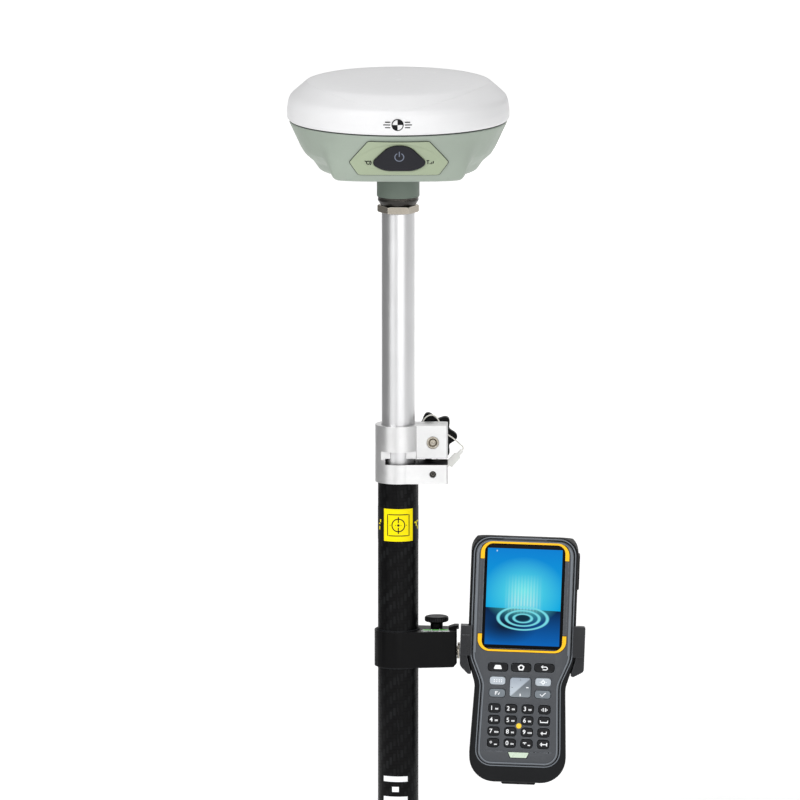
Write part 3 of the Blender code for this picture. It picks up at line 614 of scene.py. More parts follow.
def smooth(low, high, value):
    t = min(max((value - low) / (high - low), 0.0), 1.0)
    return t * t * (3 - 2 * t)


def interpolate(stations, value):
    if value <= stations[0][0]:
        return stations[0][1]
    for (p0, s0), (p1, s1) in zip(stations, stations[1:]):
        if value <= p1:
            return s0 + (s1 - s0) * (value - p0) / (p1 - p0)
    return stations[-1][1]


# ---------------------------------------------------------------- receiver head

SEAM_Z, SEAM_R = 649.6, 96.0
CROWN_Z = 687.7
RADOME_LOW = 651.0
HOUSING_LOW = 605.1
FRONT_SLOPE_R, FRONT_SLOPE_Z = 72.0, 611.0
SLOPE = (SEAM_R - FRONT_SLOPE_R) / (SEAM_Z - FRONT_SLOPE_Z)
TILT = math.atan(SLOPE)
PANEL_Z = 628.0
PORT_CENTRE = Vector((0.0, 83.8, 630.0))
BEZEL = [(27.1, 16.5, 3), (-26.4, 16.5, 3), (-42.8, -3.8, 2), (-34.8, -15.6, 3), (35.6, -15.6, 3),
         (44.2, -3.8, 2)]
BUTTON = [(26.0, -4.4, 4.2), (9.4, 13.0, 17), (-7.4, 13.0, 17), (-24.2, -4.4, 4.2), (-13.0, -11.4, 22),
          (15.0, -11.4, 22)]
FRONT_PROFILE = [(HOUSING_LOW, 66.0), (607.0, 69.0), (FRONT_SLOPE_Z, FRONT_SLOPE_R), (SEAM_Z, SEAM_R)]
SIDE_PROFILE = [(HOUSING_LOW, 64.0), (607.0, 69.0), (615.5, 75.0), (617.5, 77.5), (621.5, 82.0),
                (627.3, 85.6), (638.0, 90.6), (SEAM_Z, SEAM_R)]
SQUARENESS = 4.4


def fascia_radius(height, angle):
    """Radius of the front and back: round at the seam, nearly flat-faced at the foot."""
    forward, sideways = abs(math.sin(angle)), abs(math.cos(angle))
    square = (forward ** SQUARENESS + sideways ** SQUARENESS) ** (-1 / SQUARENESS)
    foot = 1 - smooth(HOUSING_LOW, SEAM_Z, height)
    return interpolate(FRONT_PROFILE, height) * (1 + (square - 1) * foot)


def housing_radius(height, angle):
    side = smooth(0.66, 0.82, abs(math.cos(angle)))
    front = fascia_radius(height, angle)
    return front + (interpolate(SIDE_PROFILE, height) - front) * side


def fascia(u, w, depth):
    """A point of the front fascia at u across and w above the panel centre, brought forward so that
    it stands a depth clear of the sloping face."""
    height = PANEL_Z + w
    reach = interpolate(FRONT_PROFILE, height)
    for _ in range(12):
        radius = fascia_radius(height, math.atan2(reach, u))
        reach = math.sqrt(radius * radius - u * u)
    return Vector((u, -reach - depth / math.cos(TILT), height))


def drum_step(height, angle):
    """How far the side drums sit behind the fascia: crisp at their front edge, gone at the ledge."""
    from_front = math.degrees(math.asin(min(1.0, abs(math.cos(angle)))))
    front_edge, per_degree, ledge, corner = 45.5, 1.4, 623.5, 11.0
    across = (from_front - front_edge) * per_degree
    below = ledge - height
    if across < corner and below < corner:
        inside = corner - math.hypot(corner - across, corner - below)
    else:
        inside = min(across, below)
    return 0.9 * smooth(-0.7, 0.9, inside) * (1 - smooth(62.0, 80.0, from_front))


def housing():
    """The green shell with its button pocket and its rear port."""
    steps, half_window, wall = 360, 0.9, 4.0
    levels = [HOUSING_LOW, HOUSING_LOW + 0.25, HOUSING_LOW + 0.8, 606.6, 607.4, 608.6, 610, 611.4]
    levels += [612.6 + 0.8 * k for k in range(17)] + [627.0, 629, 632, 636, 640, 644, 647.6, 648.9, SEAM_Z]
    edges = {SEAM_Z: 0.55, 648.9: 0.1, HOUSING_LOW: 1.2, HOUSING_LOW + 0.25: 0.5, HOUSING_LOW + 0.8: 0.1}
    spread = (-half_window, -half_window / 2, 0.0, half_window / 2, half_window)

    def outside(height, angle):
        """The radius averaged over a short height, which softens the creases, less the stepped edges."""
        radius = sum(housing_radius(height + shift, angle) for shift in spread) / len(spread)
        return radius - (drum_step(height, angle) + edges.get(height, 0))

    def inside(height, angle):
        return housing_radius(height, angle) - wall

    turns = [2 * math.pi * (k + 0.5) / steps for k in range(steps)]
    rings = []
    for heights, surface in ((levels, outside), ((SEAM_Z, 638.0, 621.5, HOUSING_LOW + 3.0), inside)):
        for height in heights:
            radii = [surface(height, angle) for angle in turns]
            rings.append([(r * math.cos(a), r * math.sin(a), height) for r, a in zip(radii, turns)])
    shell = loft(rings)
    back = Matrix.Translation(PORT_CENTRE) @ Matrix.Rotation(-TILT, 4, "X")
    pocket = prism([(x, PANEL_Z + w) for x, w in rounded(grown(BUTTON, 0.4))], -112, -62, "y")
    pad = ease(block((0, 0), (40, 25), 3, -3.0, 1.4), 0.5)
    hole = block((0, 1), (26, 12), 3, -8.0, 8.0)
    for solid in (pad, hole):
        bmesh.ops.transform(solid, matrix=back, verts=solid.verts)
    return carve(shell, ("-", pocket), ("+", pad), ("-", hole))


def radome():
    """The white cover: a band, a shoulder with a shallow crease that dips at the front, and a flat crown."""
    outer = rounded([(96.2, RADOME_LOW, 0), (97.6, 652.6, 1.2), (97.7, 659.5, 10), (96.4, 668.0, 6),
                     (94.6, 672.0, 3), (80.4, 684.1, 2.0), (76.0, 685.3, 8), (50.0, 686.9, 10),
                     (0, CROWN_Z, 0), (0, 660, 0)], 6)[:-1]
    lengths = [0.0]
    for first, second in zip(outer, outer[1:]):
        lengths.append(lengths[-1] + math.dist(first, second))

    def at(length):
        for k in range(len(outer) - 1):
            if length <= lengths[k + 1] or k == len(outer) - 2:
                t = min(max((length - lengths[k]) / (lengths[k + 1] - lengths[k]), 0.0), 1.0)
                (r0, z0), (r1, z1) = outer[k], outer[k + 1]
                run = math.hypot(r1 - r0, z1 - z0)
                return r0 + (r1 - r0) * t, z0 + (z1 - z0) * t, (z1 - z0) / run, -(r1 - r0) / run

    def length_at(height):
        for k in range(len(outer) - 1):
            if outer[k + 1][1] >= height:
                (_, z0), (_, z1) = outer[k], outer[k + 1]
                return lengths[k] + (lengths[k + 1] - lengths[k]) * (height - z0) / (z1 - z0)

    steps, crease_z, crease_rise, lip = 288, 671.8, 12.3, 0.6
    low, high = length_at(669.0), length_at(684.95)
    total = lengths[-1]
    columns = []
    for k in range(steps):
        angle = 2 * math.pi * (k + 0.5) / steps
        sine, cosine = abs(math.cos(angle)), abs(math.sin(angle))
        crease = length_at(crease_z + crease_rise * (sine + 0.4 * (sine * cosine) ** 2))
        spots = [(low * j / 14, 0.0) for j in range(15)]
        spots += [(low + (crease - lip - low) * j / 8, 0.22 * smooth(0, 1, j / 8)) for j in range(1, 9)]
        spots += [(crease - 0.25, 0.18), (crease, -0.22), (crease + 0.25, -0.1), (crease + lip, 0.0)]
        spots += [(crease + lip + (high - crease - lip) * j / 8, 0.0) for j in range(1, 9)]
        spots += [(high + (total - high) * j / 9, 0.0) for j in range(1, 9)] + [(total - 2.0, 0.0)]
        column = []
        for length, lift in spots:
            radius, height, out, rise = at(length)
            radius += lift * out
            column.append((radius * math.cos(angle), radius * math.sin(angle), height + lift * rise))
        columns.append(column)
    rings = list(zip(*columns))
    cavity = lathe([(0, 684.4), (50.0, 683.6), (75.0, 681.6), (79.0, 680.0), (92.0, 669.4), (94.4, 659.0),
                    (94.0, RADOME_LOW), (94.0, RADOME_LOW - 5), (0, RADOME_LOW - 5)], 144)
    return carve(loft(rings), ("-", cavity))


def build_head():
    piece("housing", housing(), "green", "head", "base_housing", sharp=45)
    piece("radome_cover", radome(), "white", "head", "radome", sharp=30)
    for index, (x, y, w, h) in enumerate([(-29.5, 29, 10, 5), (29, 29, 10, 5), (0, 18.6, 4.8, 4.8)]):
        lift = CROWN_Z - 0.016 * math.hypot(x, y)
        pad = ease(prism(rectangle((x, y), (w, h), h / 2.05), lift - 0.8, lift + 0.12), 0.2)
        piece(f"crown_pad_{index}", pad, "white", "head")
    stud = lathe([(2.0, 686.9), (2.9, 686.9), (2.9, CROWN_Z, 0.1), (2.0, CROWN_Z, 0.1)], 32, (0.6, -13))
    piece("crown_ring", stud, "white", "head")
    outer = polar(rounded(BEZEL, 10), 240)
    inner = polar(rounded(grown(BUTTON, 0.4), 10), 240)

    def eye(u, v):
        """Depth inside the almond round the button, fading to nothing at its rim."""
        lid = 14.6 * (1 - ((u - 0.6) / 39.0) ** 2)
        return smooth(-0.3, 1.2, lid - abs(v - 0.4))

    def fascia_ring(outline, depth):
        return [fascia(*point, depth) for point in outline]

    rings = [fascia_ring(inner, 0.3), fascia_ring(outer, 0.3), fascia_ring(outer, 1.35)]
    for step in (0.02, 0.045, *[0.07 + 0.93 * k / 30 for k in range(31)]):
        ring = []
        for far, near in zip(outer, inner):
            u, v = far.lerp(near, step)
            fillet = 0.25 * (1 - smooth(0.0, 0.05, step)) + 0.25 * smooth(0.95, 1.0, step)
            ring.append(fascia(u, v, 1.7 - fillet - 0.55 * eye(u, v)))
        rings.append(ring)
    piece("bezel", loft(rings, True), "bezel", "head", "front_bezel", sharp=50)
    # A dark ink line round the bezel's rim: painted shade for the shadow gap between bezel and housing.
    rim = [tuple(point * 1.006) for point in outer]
    piece("bezel_shadow_line", ribbon(rim, 0.55, fascia, 0.05, 0.62, True), "ink", "head")
    face = polar(rounded(BUTTON, 10), 200)
    rings = [fascia_ring(face, -1.6), fascia_ring(face, 1.9)]
    for scale, depth in ((0.995, 2.25), (0.975, 2.55), (0.94, 2.75), (0.85, 2.9), (0.7, 3.0), (0.5, 3.07),
                         (0.25, 3.1), (0.02, 3.1)):
        rings.append(fascia_ring([point * scale for point in face], depth))
    piece("power_button_cap", loft(rings), "button", "power_button", "power_button", sharp=50)
    symbol = [ribbon(offset(line, 1.0, 2.3), 0.8, fascia, 2.9, 3.16)
              for line in (arc(3.9, 118, 422, 32), [(0, 0.4), (0, 5.4)])]
    piece("power_symbol", symbol, "symbol", "power_button")

    def icon(name, u, v, strokes):
        shapes = [ribbon(offset(stroke, u, v), 0.82, fascia, 0.9, 1.3) for stroke in strokes]
        piece(name, shapes, "ink", "head")

    icon("link_icon", -26.3, -3.75, [arc(1.5, 0, 340, 14), arc(2.6, -50, 50, 8), [(-3, 1.7), (-1.3, 0.8)]])
    icon("signal_icon", 28.6, -3.55, [[(-2.6, -1.6), (-2.6, 1.8)], [(-3.8, 1.8), (-1.4, 1.8)],
                                      [(-0.6, -1.6), (-0.6, -0.6)], [(0.8, -1.6), (0.8, 0.3)],
                                      [(2.2, -1.6), (2.2, 1.2)]])
    cover = carve(ease(block((0, 1), (34, 18), 3, 1.7, 4.2), 0.6),
                  ("-", block((0, 8.2), (12, 1.6), 0.8, 3.6, 6.0)))
    place = Matrix.Translation(PORT_CENTRE * MM) @ Matrix.Rotation(-TILT, 4, "X")
    piece("port_door", cover, "black", "port_cover", "port_cover", place=place)
    piece("seal", sleeve(88, 95.6, 649.9, 650.7, 192, edges=(0.3, 0.3)), "seal", "head", "seal_ring")
    neck = lathe([(8.2, 582.2), (18.75, 582.2, 0.5), (18.75, 604.8), (0, 604.8), (0, 598), (8.2, 598)])
    piece("neck", neck, "green_dark", "head", "mount_neck")
    spacer = lathe([(8.2, 575.1), (15.6, 575.1, 0.4), (17.9, 578.7, 0.7), (17.9, 580.2, 0.3), (17.4, 580.5),
                    (17.4, 580.9), (17.9, 581.2, 0.3), (17.9, 581.9, 0.2), (8.2, 581.9)])
    piece("neck_ring", spacer, "dark_metal", "head", "spacer_ring", slot="black_plastic")

    band = wrapped(BAND_R, (0.5, 660.4), 97.7)
    thin = (band, -0.1, 0.12)
    mark = [ribbon(circle(4.9, 48), 0.8, *thin, True)]
    mark += [plaque([(0, 0), *arc(4.9, start, start + 90, 10)], *thin) for start in (0, 180)]
    for side in (-1, 1):
        for height, length in ((2.4, 4.6), (0.0, 6.2), (-2.4, 4.6)):
            mark.append(ribbon([(side * 6.4, height), (side * (6.4 + length), height)], 0.9, *thin))
    piece("datum_mark", mark, "ink", "head")


# ---------------------------------------------------------------- pole, clamp and tag

def build_pole():
    tube = sleeve(15.5, CARBON_R, 38.3, 345.5, 144, edges=(0.3, 0.3))
    piece("carbon_tube", tube, "carbon", "pole", "lower_tube")
    thread = []
    for turn in range(6):
        z = -12.6 + 1.6 * turn
        thread += [(7.9, z), (7.9, z + 0.4), (7.2, z + 0.8), (7.2, z + 1.1)]
    ferrule = [(0, -14), (6.7, -14, 0.2), *thread, (7.9, -3.0), (6.6, -2.4), (6.6, 0), (16.8, 0, 0.2)]
    ferrule += [(CARBON_R, 1.0, 0.2), (CARBON_R, 8.0, 0.2), (17.3, 8.5), (17.3, 9.3), (CARBON_R, 9.8, 0.2),
                (CARBON_R, 33.0, 0.2), (17.4, 33.4), (17.4, 34.2), (CARBON_R, 34.6, 0.2),
                (CARBON_R, 38.0, 0.2), (15.2, 38.0), (15.2, 60.0), (0, 60.0)]
    piece("lower_fitting", lathe(ferrule, 144), "dark_metal", "pole", "joint_ferrule")

    wrap = wrapped(CARBON_R, (0, 0), CARBON_R)

    def sheet(u0, u1, z0, z1, high):
        """A wrapped patch fine enough to follow the tube."""
        cells, rows = 20, 4
        grid = bmesh.new()
        layers = []
        for depth in (-0.05, high):
            layer = [[grid.verts.new(wrap(u0 + (u1 - u0) * k / cells, z0 + (z1 - z0) * j / rows, depth))
                      for k in range(cells + 1)] for j in range(rows + 1)]
            layers.append(layer)
            for low, up in zip(layer, layer[1:]):
                for k in range(cells):
                    grid.faces.new((low[k], low[k + 1], up[k + 1], up[k]))
        loops = [layer[0] + [row[-1] for row in layer[1:-1]]
                 + layer[-1][::-1] + [row[0] for row in layer[-2:0:-1]] for layer in layers]
        for k in range(len(loops[0])):
            n = (k + 1) % len(loops[0])
            grid.faces.new((loops[0][k], loops[0][n], loops[1][n], loops[1][k]))
        return grid

    band = sleeve(17.7, 17.93, 277.3, 306.6, 144)
    piece("marker_band", band, "ink", "pole")
    spots = ((16.6, 292.6, 2.6, 1.5), (18.6, 290.0, 1.5, 3.4), (21.0, 287.2, 1.3, 2.8),
             (20.0, 293.6, 3.4, 1.2), (-19.2, 293.4, 1.6, 2.6), (-21.4, 291.6, 2.4, 1.0),
             (-20.6, 286.8, 1.4, 3.0))
    flecks = [sheet(u, u + wide, z, z + tall, 0.2) for u, z, wide, tall in spots]
    piece("marker_flecks", flecks, "yellow", "pole")
    piece("height_marker", sheet(-13.6, 14.0, 277.5, 306.3, 0.25), "yellow", "pole")
    target = (0.15, 291.9)
    print_layer = (wrap, 0.2, 0.33)
    across = [-9.75 + 19.5 * k / 12 for k in range(13)]
    border = [(u, -9.4) for u in across] + [(u, 9.4) for u in reversed(across)]
    mark = [ribbon(offset(border, *target), 0.8, *print_layer, True),
            ribbon(offset(circle(5.6, 40), *target), 0.9, *print_layer, True)]
    mark += [ribbon(offset([(7.6 * a, 7.6 * b), (2.0 * a, 2.0 * b)], *target), 0.9, *print_layer)
             for a, b in ((1, 0), (-1, 0), (0, 1), (0, -1))]
    mark.append(plaque(offset(circle(1.1, 16), *target), *print_layer))
    piece("marker_target", mark, "ink", "pole")
    for index, (u0, u1, z0, z1) in enumerate([(-14.0, 8.6, 63.2, 68.0), (-14.0, 8.6, 45.2, 50.0),
                                              (-5.4, 0.6, 54.2, 58.8)]):
        piece(f"height_bar_{index}", sheet(u0, u1, z0, z1, 0.1), "white_ink", "pole")
    tube = sleeve(12.5, TUBE_R, 200, 567.9, 144, edges=(0.5, 0.4))
    piece("extension_tube", tube, "tube", "extension", "upper_tube")
    nut = prism(circle(18.25, 6), 568.2, 574.4)
    lead = lathe([(0, 567.2), (16.2, 567.2), (18.4, 569.2), (18.4, 573.4), (16.2, 575.4), (0, 575.4)], 144)
    bore = sleeve(0, 8.2, 566, 577, 64)
    nut = ease(carve(nut, ("&", lead), ("-", bore)), 0.12, 1)
    piece("hex_lock_nut", nut, "nickel", "extension", "lock_nut", sharp=25)


def build_clamp():
    low, high = CLAMP_LOW, CLAMP_HIGH
    lug_end, screw, grub_at = 43.6, (30.4, 364.5), (30.4, 337.4)
    lower = prism(rounded([(lug_end, 12.9, 2), (-7, 12.9, 0), (-7, -18.9, 0), (lug_end, -18.9, 2)]),
                  low, SLOT_LOW)
    upper = prism(rounded([(lug_end, 12, 2), (0, 12, 0), (0, -12, 0), (lug_end, -12, 2)]), SLOT_HIGH, high)
    body = carve(
        sleeve(0, 20.2, low, high, 144), ("+", lower), ("+", upper),
        ("-", sleeve(0, 18.1, low - 1, SLOT_MIDDLE, 144)),
        ("-", sleeve(0, 14.8, SLOT_MIDDLE - 1, high + 1, 144)),
        ("-", box((SLOT_END, -25, SLOT_LOW), (50, 25, SLOT_HIGH))),
        ("-", box((-15, -25, SLOT_HIGH - 1), (30, -13.0, 357.0))),
        ("-", box((10, -1.0, SLOT_HIGH - 1), (50, 1.0, high + 1))),
        ("-", sleeve(0, 3.6, -20, 20, 40, screw, "y")),
        ("-", sleeve(0, 5.65, -20, -9.5, 48, screw, "y")),
        ("-", sleeve(0, 3.1, -22, -14, 40, grub_at, "y")))
    piece("pole_clamp", ease(body, 0.3, 2, 50), "machined", "pole", "clamp_block", sharp=30)
    nut = lathe([(0, -12.2), (1.5, -12.2, 0.3), (1.5, -10.9), (2.5, -10.9), (3.6, -12.2, 0.2),
                 (4.0, -12.6, 0.2), (5.35, -12.6, 0.4), (5.35, -9.8), (0, -9.8)], 64, screw, "y")
    piece("clamp_cap_nut", nut, "nickel", "pole", "clamp_nut")
    grub = socket_head(grub_at, 2.9, -16.2, -14.2, (0.4, 0), 1.5, (-19, -15.2))
    piece("clamp_grub_screw", grub, "dark_metal", "pole", slot="nickel")
    lobes, steps = 7, 168
    turns = [2 * math.pi * k / steps for k in range(steps)]
    star = [spun(18.9 + 2.6 * math.cos(lobes * angle), [angle], screw)[0] for angle in turns]
    knob = carve(ease(prism(star, 18.6, 28.6, "y"), 1.8, 4, 60),
                 ("-", sleeve(10.5, 16.0, 27.4, 30, 96, screw, "y")),
                 ("+", sleeve(0, 9.2, 27.5, 28.55, 64, screw, "y", edges=(0, 0.5))))
    piece("star_knob", knob, "black", "clamp_knob", "clamp_knob")
    threads = []
    for turn in range(9):
        y = 4.2 + 0.9 * turn
        threads += [(3.2, y), (2.85, y + 0.45)]
    stem = lathe([(0, -9.5), (3.2, -9.5, 0.3), *threads, (3.2, 12.3), (7.0, 12.3, 0.5), (7.0, 18.3),
                  (0, 18.3)], 64, screw, "y")
    piece("clamp_stud", stem, "nickel", "clamp_knob", "clamp_screw")


TAG_Y = 14.0
STRING_R = 0.6


def build_tag():
    """The string that loops over the clamp knob, and the toggle that closes it."""
    guide = [(56.5, 353.9), (57.1, 354.9), (56.8, 356.6), (54.8, 358.6), (51.7, 361.4), (47.6, 364.8),
             (43.7, 367.4), (40.8, 370.5), (38.8, 374.6), (36.0, 379.2), (33.2, 383.4), (29.3, 384.9),
             (25.2, 383.6), (22.3, 380.2), (20.4, 374.5), (19.8, 366.0), (22.5, 357.0), (29.0, 350.5),
             (35.5, 344.5), (40.0, 340.0), (42.4, 338.8), (43.6, 339.3), (44.1, 340.1)]
    route = []
    samples = 4
    for k in range(len(guide) - 1):
        p0, p1, p2, p3 = (guide[max(k - 1, 0)], guide[k], guide[k + 1], guide[min(k + 2, len(guide) - 1)])
        for j in range(samples):
            t = j / samples
            route.append(tuple(
                0.5 * (2 * b + (c - a) * t + (2 * a - 5 * b + 4 * c - d) * t * t
                       + (3 * b - a - 3 * c + d) * t ** 3)
                for a, b, c, d in zip(p0, p1, p2, p3)))
    route.append(guide[-1])
    curve = bpy.data.curves.new("tag_cord", "CURVE")
    curve.dimensions = "3D"
    curve.bevel_depth = STRING_R * MM
    curve.bevel_resolution = 3
    curve.use_fill_caps = True
    line = curve.splines.new("POLY")
    line.points.add(len(route) - 1)
    for point, (x, z) in zip(line.points, route):
        point.co = (x * MM, TAG_Y * MM, z * MM, 1.0)
    curve.materials.append(FINISH["cotton"])
    string = bpy.data.objects.new("tag_cord", curve)
    scene.collection.objects.link(string)
    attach(string, "pole")
    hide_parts("tag_string")
    place = Matrix.Translation(Vector((48.4, TAG_Y, 344.9)) * MM) @ Matrix.Rotation(math.radians(42), 4, "Y")
    outline = rounded([(1.7, 11.6, 0.7), (-1.7, 11.6, 0.7), (-1.7, 6.5, 0.4), (-3.4, 5.6, 1.0),
                       (-3.4, -6.0, 1.0), (3.4, -6.0, 1.0), (3.4, 5.6, 1.0), (1.7, 6.5, 0.4)], 4)
    body = carve(ease(prism(outline, -0.9, 0.9, "y"), 0.35, 3),
                 ("-", box((-4, -1.5, 5.9), (4, -0.72, 6.3))), ("-", box((-4, 0.72, 5.9), (4, 1.5, 6.3))),
                 ("-", box((-4, -1.5, -4.9), (4, -0.72, -4.6))))
    toggle = piece("tag_barrel", body, "nylon", "pole", "tag_toggle", place=place)


# ---------------------------------------------------------------- bracket and cradle

def build_bracket():
    low, high, end_x = 164.9, 196.8, 51.6
    liner = sleeve(18.1, 18.9, low - 1, high + 1, 128, edges=(0.2, 0.2))
    piece("pole_liner", liner, "rubber", "bracket_liner", "bracket_liner")
    arm = rounded([(end_x, 13.5, 2.0), (38, 16, 6), (2, 20.7, 0), (2, -20.7, 0), (38, -16, 6),
                   (end_x, -13.5, 2.0)], 5)
    tab = rounded([(44.3, high - 1, 0), (53.4, high + 0.8, 0), (53.4, 200.6, 0.5), (49.5, 200.6, 0.8),
                   (44.3, 198.8, 0.4)], 4)
    thumb_screw, pin_z = (33.8, 2.0), 177.5
    body = carve(
        sleeve(0, 20.8, low, high, 144),
        ("+", prism(arm, low, high)), ("+", prism(tab, -5, 5, "y")),
        ("-", sleeve(0, 19.2, 160, 201, 128)),
        ("-", prism([(47.6, low - 1), (53, low - 1), (53, 170.0)], -20, 20, "y")),
        ("-", box((21.7, -13.5, 194.3), (44.1, -8.5, 199.0))),
        ("-", sleeve(0, 3.3, 182, 199, 32, thumb_screw)),
        ("-", sleeve(0, 4.6, 40.5, 53, 48, (0, pin_z), "x")))
    piece("pole_bracket", ease(body, 0.55, 3, 50), "black", "bracket", "bracket_clamp")
    vial = rounded([(-8.8, 194.6, 0.3), (-8.8, 197.4, 0.6), (-11.0, 198.5, 2.6), (-13.2, 197.4, 0.6),
                    (-13.2, 194.6, 0.3)], 5)
    piece("level_tube", prism(vial, 22.0, 43.8, "x"), "level", "bracket", "bubble_level")
    rim = [ribbon([(start, v), (end, v)], width, PLACES["z"], base, base + rise)
           for start, end, v, width, base, rise in (
               (21.4, 44.4, -7.9, 1.2, high, 0.7), (20.2, 45.0, -14.3, 1.6, high, 0.9),
               (29.0, 29.6, -11.0, 4.2, 197.6, 0.95), (36.2, 36.8, -11.0, 4.2, 197.6, 0.95))]
    piece("level_rim", rim, "foil", "bracket")
    knob = lathe([(0, 184), (3.0, 184, 0.3), (3.0, 197.1), (5.4, 197.1, 0.3), (5.4, 201.6, 1.0),
                  (7.2, 203.4, 0.6), (9.8, 203.4, 0.4), (10.5, 204.2, 0.3), (10.5, 207.0, 0.8),
                  (9.2, 208.0, 1.0), (6.0, 207.6, 1.0), (0, 207.6)], 96, thumb_screw)
    grooves = [sleeve(0, 0.42, 203.9, 207.3, 8, spot) for spot in circle(10.65, 30, thumb_screw)]
    piece("thumb_knob", carve(knob, ("-", merged(grooves))), "black", "bracket_knob", "bracket_knob")


CENTRE = (108.1, 0.0, 172.2)
LEAN = Matrix.Translation(Vector(CENTRE) * MM) @ Matrix.Rotation(math.radians(2.1), 4, "Y")


def around(corners, amount):
    """The closed outline of the controller's case or face, moved inwards by an amount."""
    return rounded(mirrored(inset(corners, amount)), 10)


def held(name, solid, look, body, *nodes, **more):
    """A piece drawn in the controller's own leaning frame."""
    return piece(name, solid, look, body, *nodes, place=LEAN, **more)


def roof():
    return prism([(-13, 29.6), (30, 22.0), (30, 50), (-13, 50)], -70, 70, "x")


def build_cradle():
    left, right, lip_depths = -53.9, 55.4, (-18.8, -14.8)
    bed = plate([(46.9, 27, 3), (left, 27, 1), (left, -4.5, 1), (-42, -14, 4), (34, -14, 4), (42, -9, 4),
                 (46.9, 2, 3)], 17.0, 21.0)
    wall = plate([(-48.0, 28.9, 0), (left, 28.9, 2), (left, -7.5, 6), (-45.6, -15.6, 2.5),
                  (-43.6, -14.2, 0), (-47.8, 0.5, 0)], -15.0, 20.5)
    lip = plate([(-44.3, 28.9, 1), (left, 28.9, 2), (left, 2.4, 1), (-44.3, 2.4, 1)], *lip_depths)
    hook = carve(bed, ("+", wall), ("+", lip), ("-", roof()))
    held("cradle_hook", ease(hook, 0.9, 4, 50), "satin_black", "cradle", "cradle_plate")
    wall = plate([(right, 31.3, 2), (48.0, 31.3, 0), (47.8, 0.5, 0), (44.0, -13.4, 0), (45.6, -14.8, 2),
                  (right, -9.4, 4)], -15.0, 24.0)
    lip = plate([(right, 31.3, 2), (44.7, 31.3, 1), (44.7, 4.0, 1), (right, 4.0, 1)], *lip_depths)
    tongue = plate([(55.0, 15, 0), (8, 15, 3), (8, -3, 3), (55.0, -3, 0)], 21.4, 23.8)
    jaw = carve(wall, ("+", lip), ("+", tongue), ("-", roof()))
    held("cradle_jaw", ease(jaw, 0.9, 4, 50), "satin_black", "sliding_jaw", "sliding_jaw")
    guide = carve(plate([(38, 21, 3), (-2, 21, 3), (-2, -9, 3), (38, -9, 3)], 21.3, 27.5),
                  ("-", box((0.5, 18, -3.5), (60, 24.5, 15.5))))
    held("jaw_channel", ease(guide, 0.4, 2, 50), "dark_metal", "cradle", "jaw_guide")
    screws = [socket_head((u, v), 2.4, 27.3, 28.2, (0, 0.5), 1.2, (27.7, 30))
              for v in (18, -6) for u in (3, 33)]
    held("channel_screws", screws, "nickel", "cradle")
    pin = lathe([(0, -64.5), (4.1, -64.5, 0.5), (4.1, -56.2), (7.2, -56.2, 0.4), (7.2, -54.2, 0.4),
                 (0, -54.2)], 64, (0, 3.3), "x")
    held("tilt_pin", pin, "nickel", "cradle", "swivel_pin")
    rib = ribbon([(-53.0, 20.6), (-45.4, 20.6)], 0.6, lambda u, v, d: (u, lip_depths[0] - d, v), -0.3, 0.22)
    held("grip_rib", rib, "satin_black", "cradle")


# ---------------------------------------------------------------- controller

CASE = [(47, 108.4, 16), (47, -1, 26), (39.7, -25, 30), (42.4, -86, 60), (42.4, -110.4, 22)]
FACE = [(43, 106, 13), (43, 1, 22), (33.6, -22, 22), (35.4, -78, 60), (35.4, -94, 12)]
CAVITY = [(40, 102, 8), (40, 1, 18), (31.5, -22, 18), (33, -78, 40), (33, -92, 10)]
KEY_TOP = 0.6
SCREEN = (0.2, 55.9)
PICTURE_V = 55.6
DOT = (0.1, -59.3)
CAMERA = (0, 84)
KEYS = {f"key_soft_{k}": (u, v, 17.3, 7.3)
        for k, (u, v) in enumerate([(-20.2, -7.4), (0.2, -7.1), (20.6, -6.8)])}
KEYS.update({f"key_side_{k}": (u, v, 13.9, 7.2)
             for k, (u, v) in enumerate([(-20, -19.5), (20, -19.5), (-20, -30.5), (20, -30.5)])})
KEYS["key_pad"] = (0.2, -25.0, 18.6, 17.6)
KEYS.update({f"key_digit_{row}{column}": (-21.9 + 14.65 * column, -44.1 - 10.3 * row, 10.2, 7.7)
             for row in range(4) for column in range(4)})


def inset(corners, amount):
    """An outline moved inwards by about an amount, for corners listed down the right side."""
    ends = [math.copysign(1.0, y) if abs(y) > 90 else 0.0 for _, y, _ in corners]
    return [(x - amount, y - amount * end, max(r - amount, 0.5)) for (x, y, r), end in zip(corners, ends)]


def on_face(u, v, depth):
    return Vector((u, FACE_Y - depth, v))


def on_back(u, v, depth):
    return Vector((u, CASE_BACK + depth, v))


def spread_over(u, v, w, h):
    """A mapping that spreads a picture over a rectangle of the controller's front."""
    return lambda co: ((co.x - u) / w + 0.5, (co.z - v) / h + 0.5)


def key_cap(u, v, w, h, dish):
    """A key with rolled edges and a crowned (positive) or scooped (negative) top."""
    def ring(shrink, y):
        return [(a, y, b) for a, b in rectangle((u, v), (w - 2 * shrink, h - 2 * shrink),
                                                max(2.6 - shrink, 0.4), 7)]

    top = FACE_Y - KEY_TOP
    rings = [ring(0, FACE_Y + 2.6)]
    rings += [ring(shrink, top + below) for shrink, below in ((0, 0.7), (0.12, 0.32), (0.35, 0.1), (0.7, 0))]
    base = rectangle((u, v), (w - 1.4, h - 1.4), 1.9, 7)
    for scale in (0.88, 0.72, 0.54, 0.36, 0.18, 0.03):
        lift = dish * (1 - scale * scale)
        rings.append([(u + (a - u) * scale, top - lift, v + (b - v) * scale) for a, b in base])
    return loft(rings)


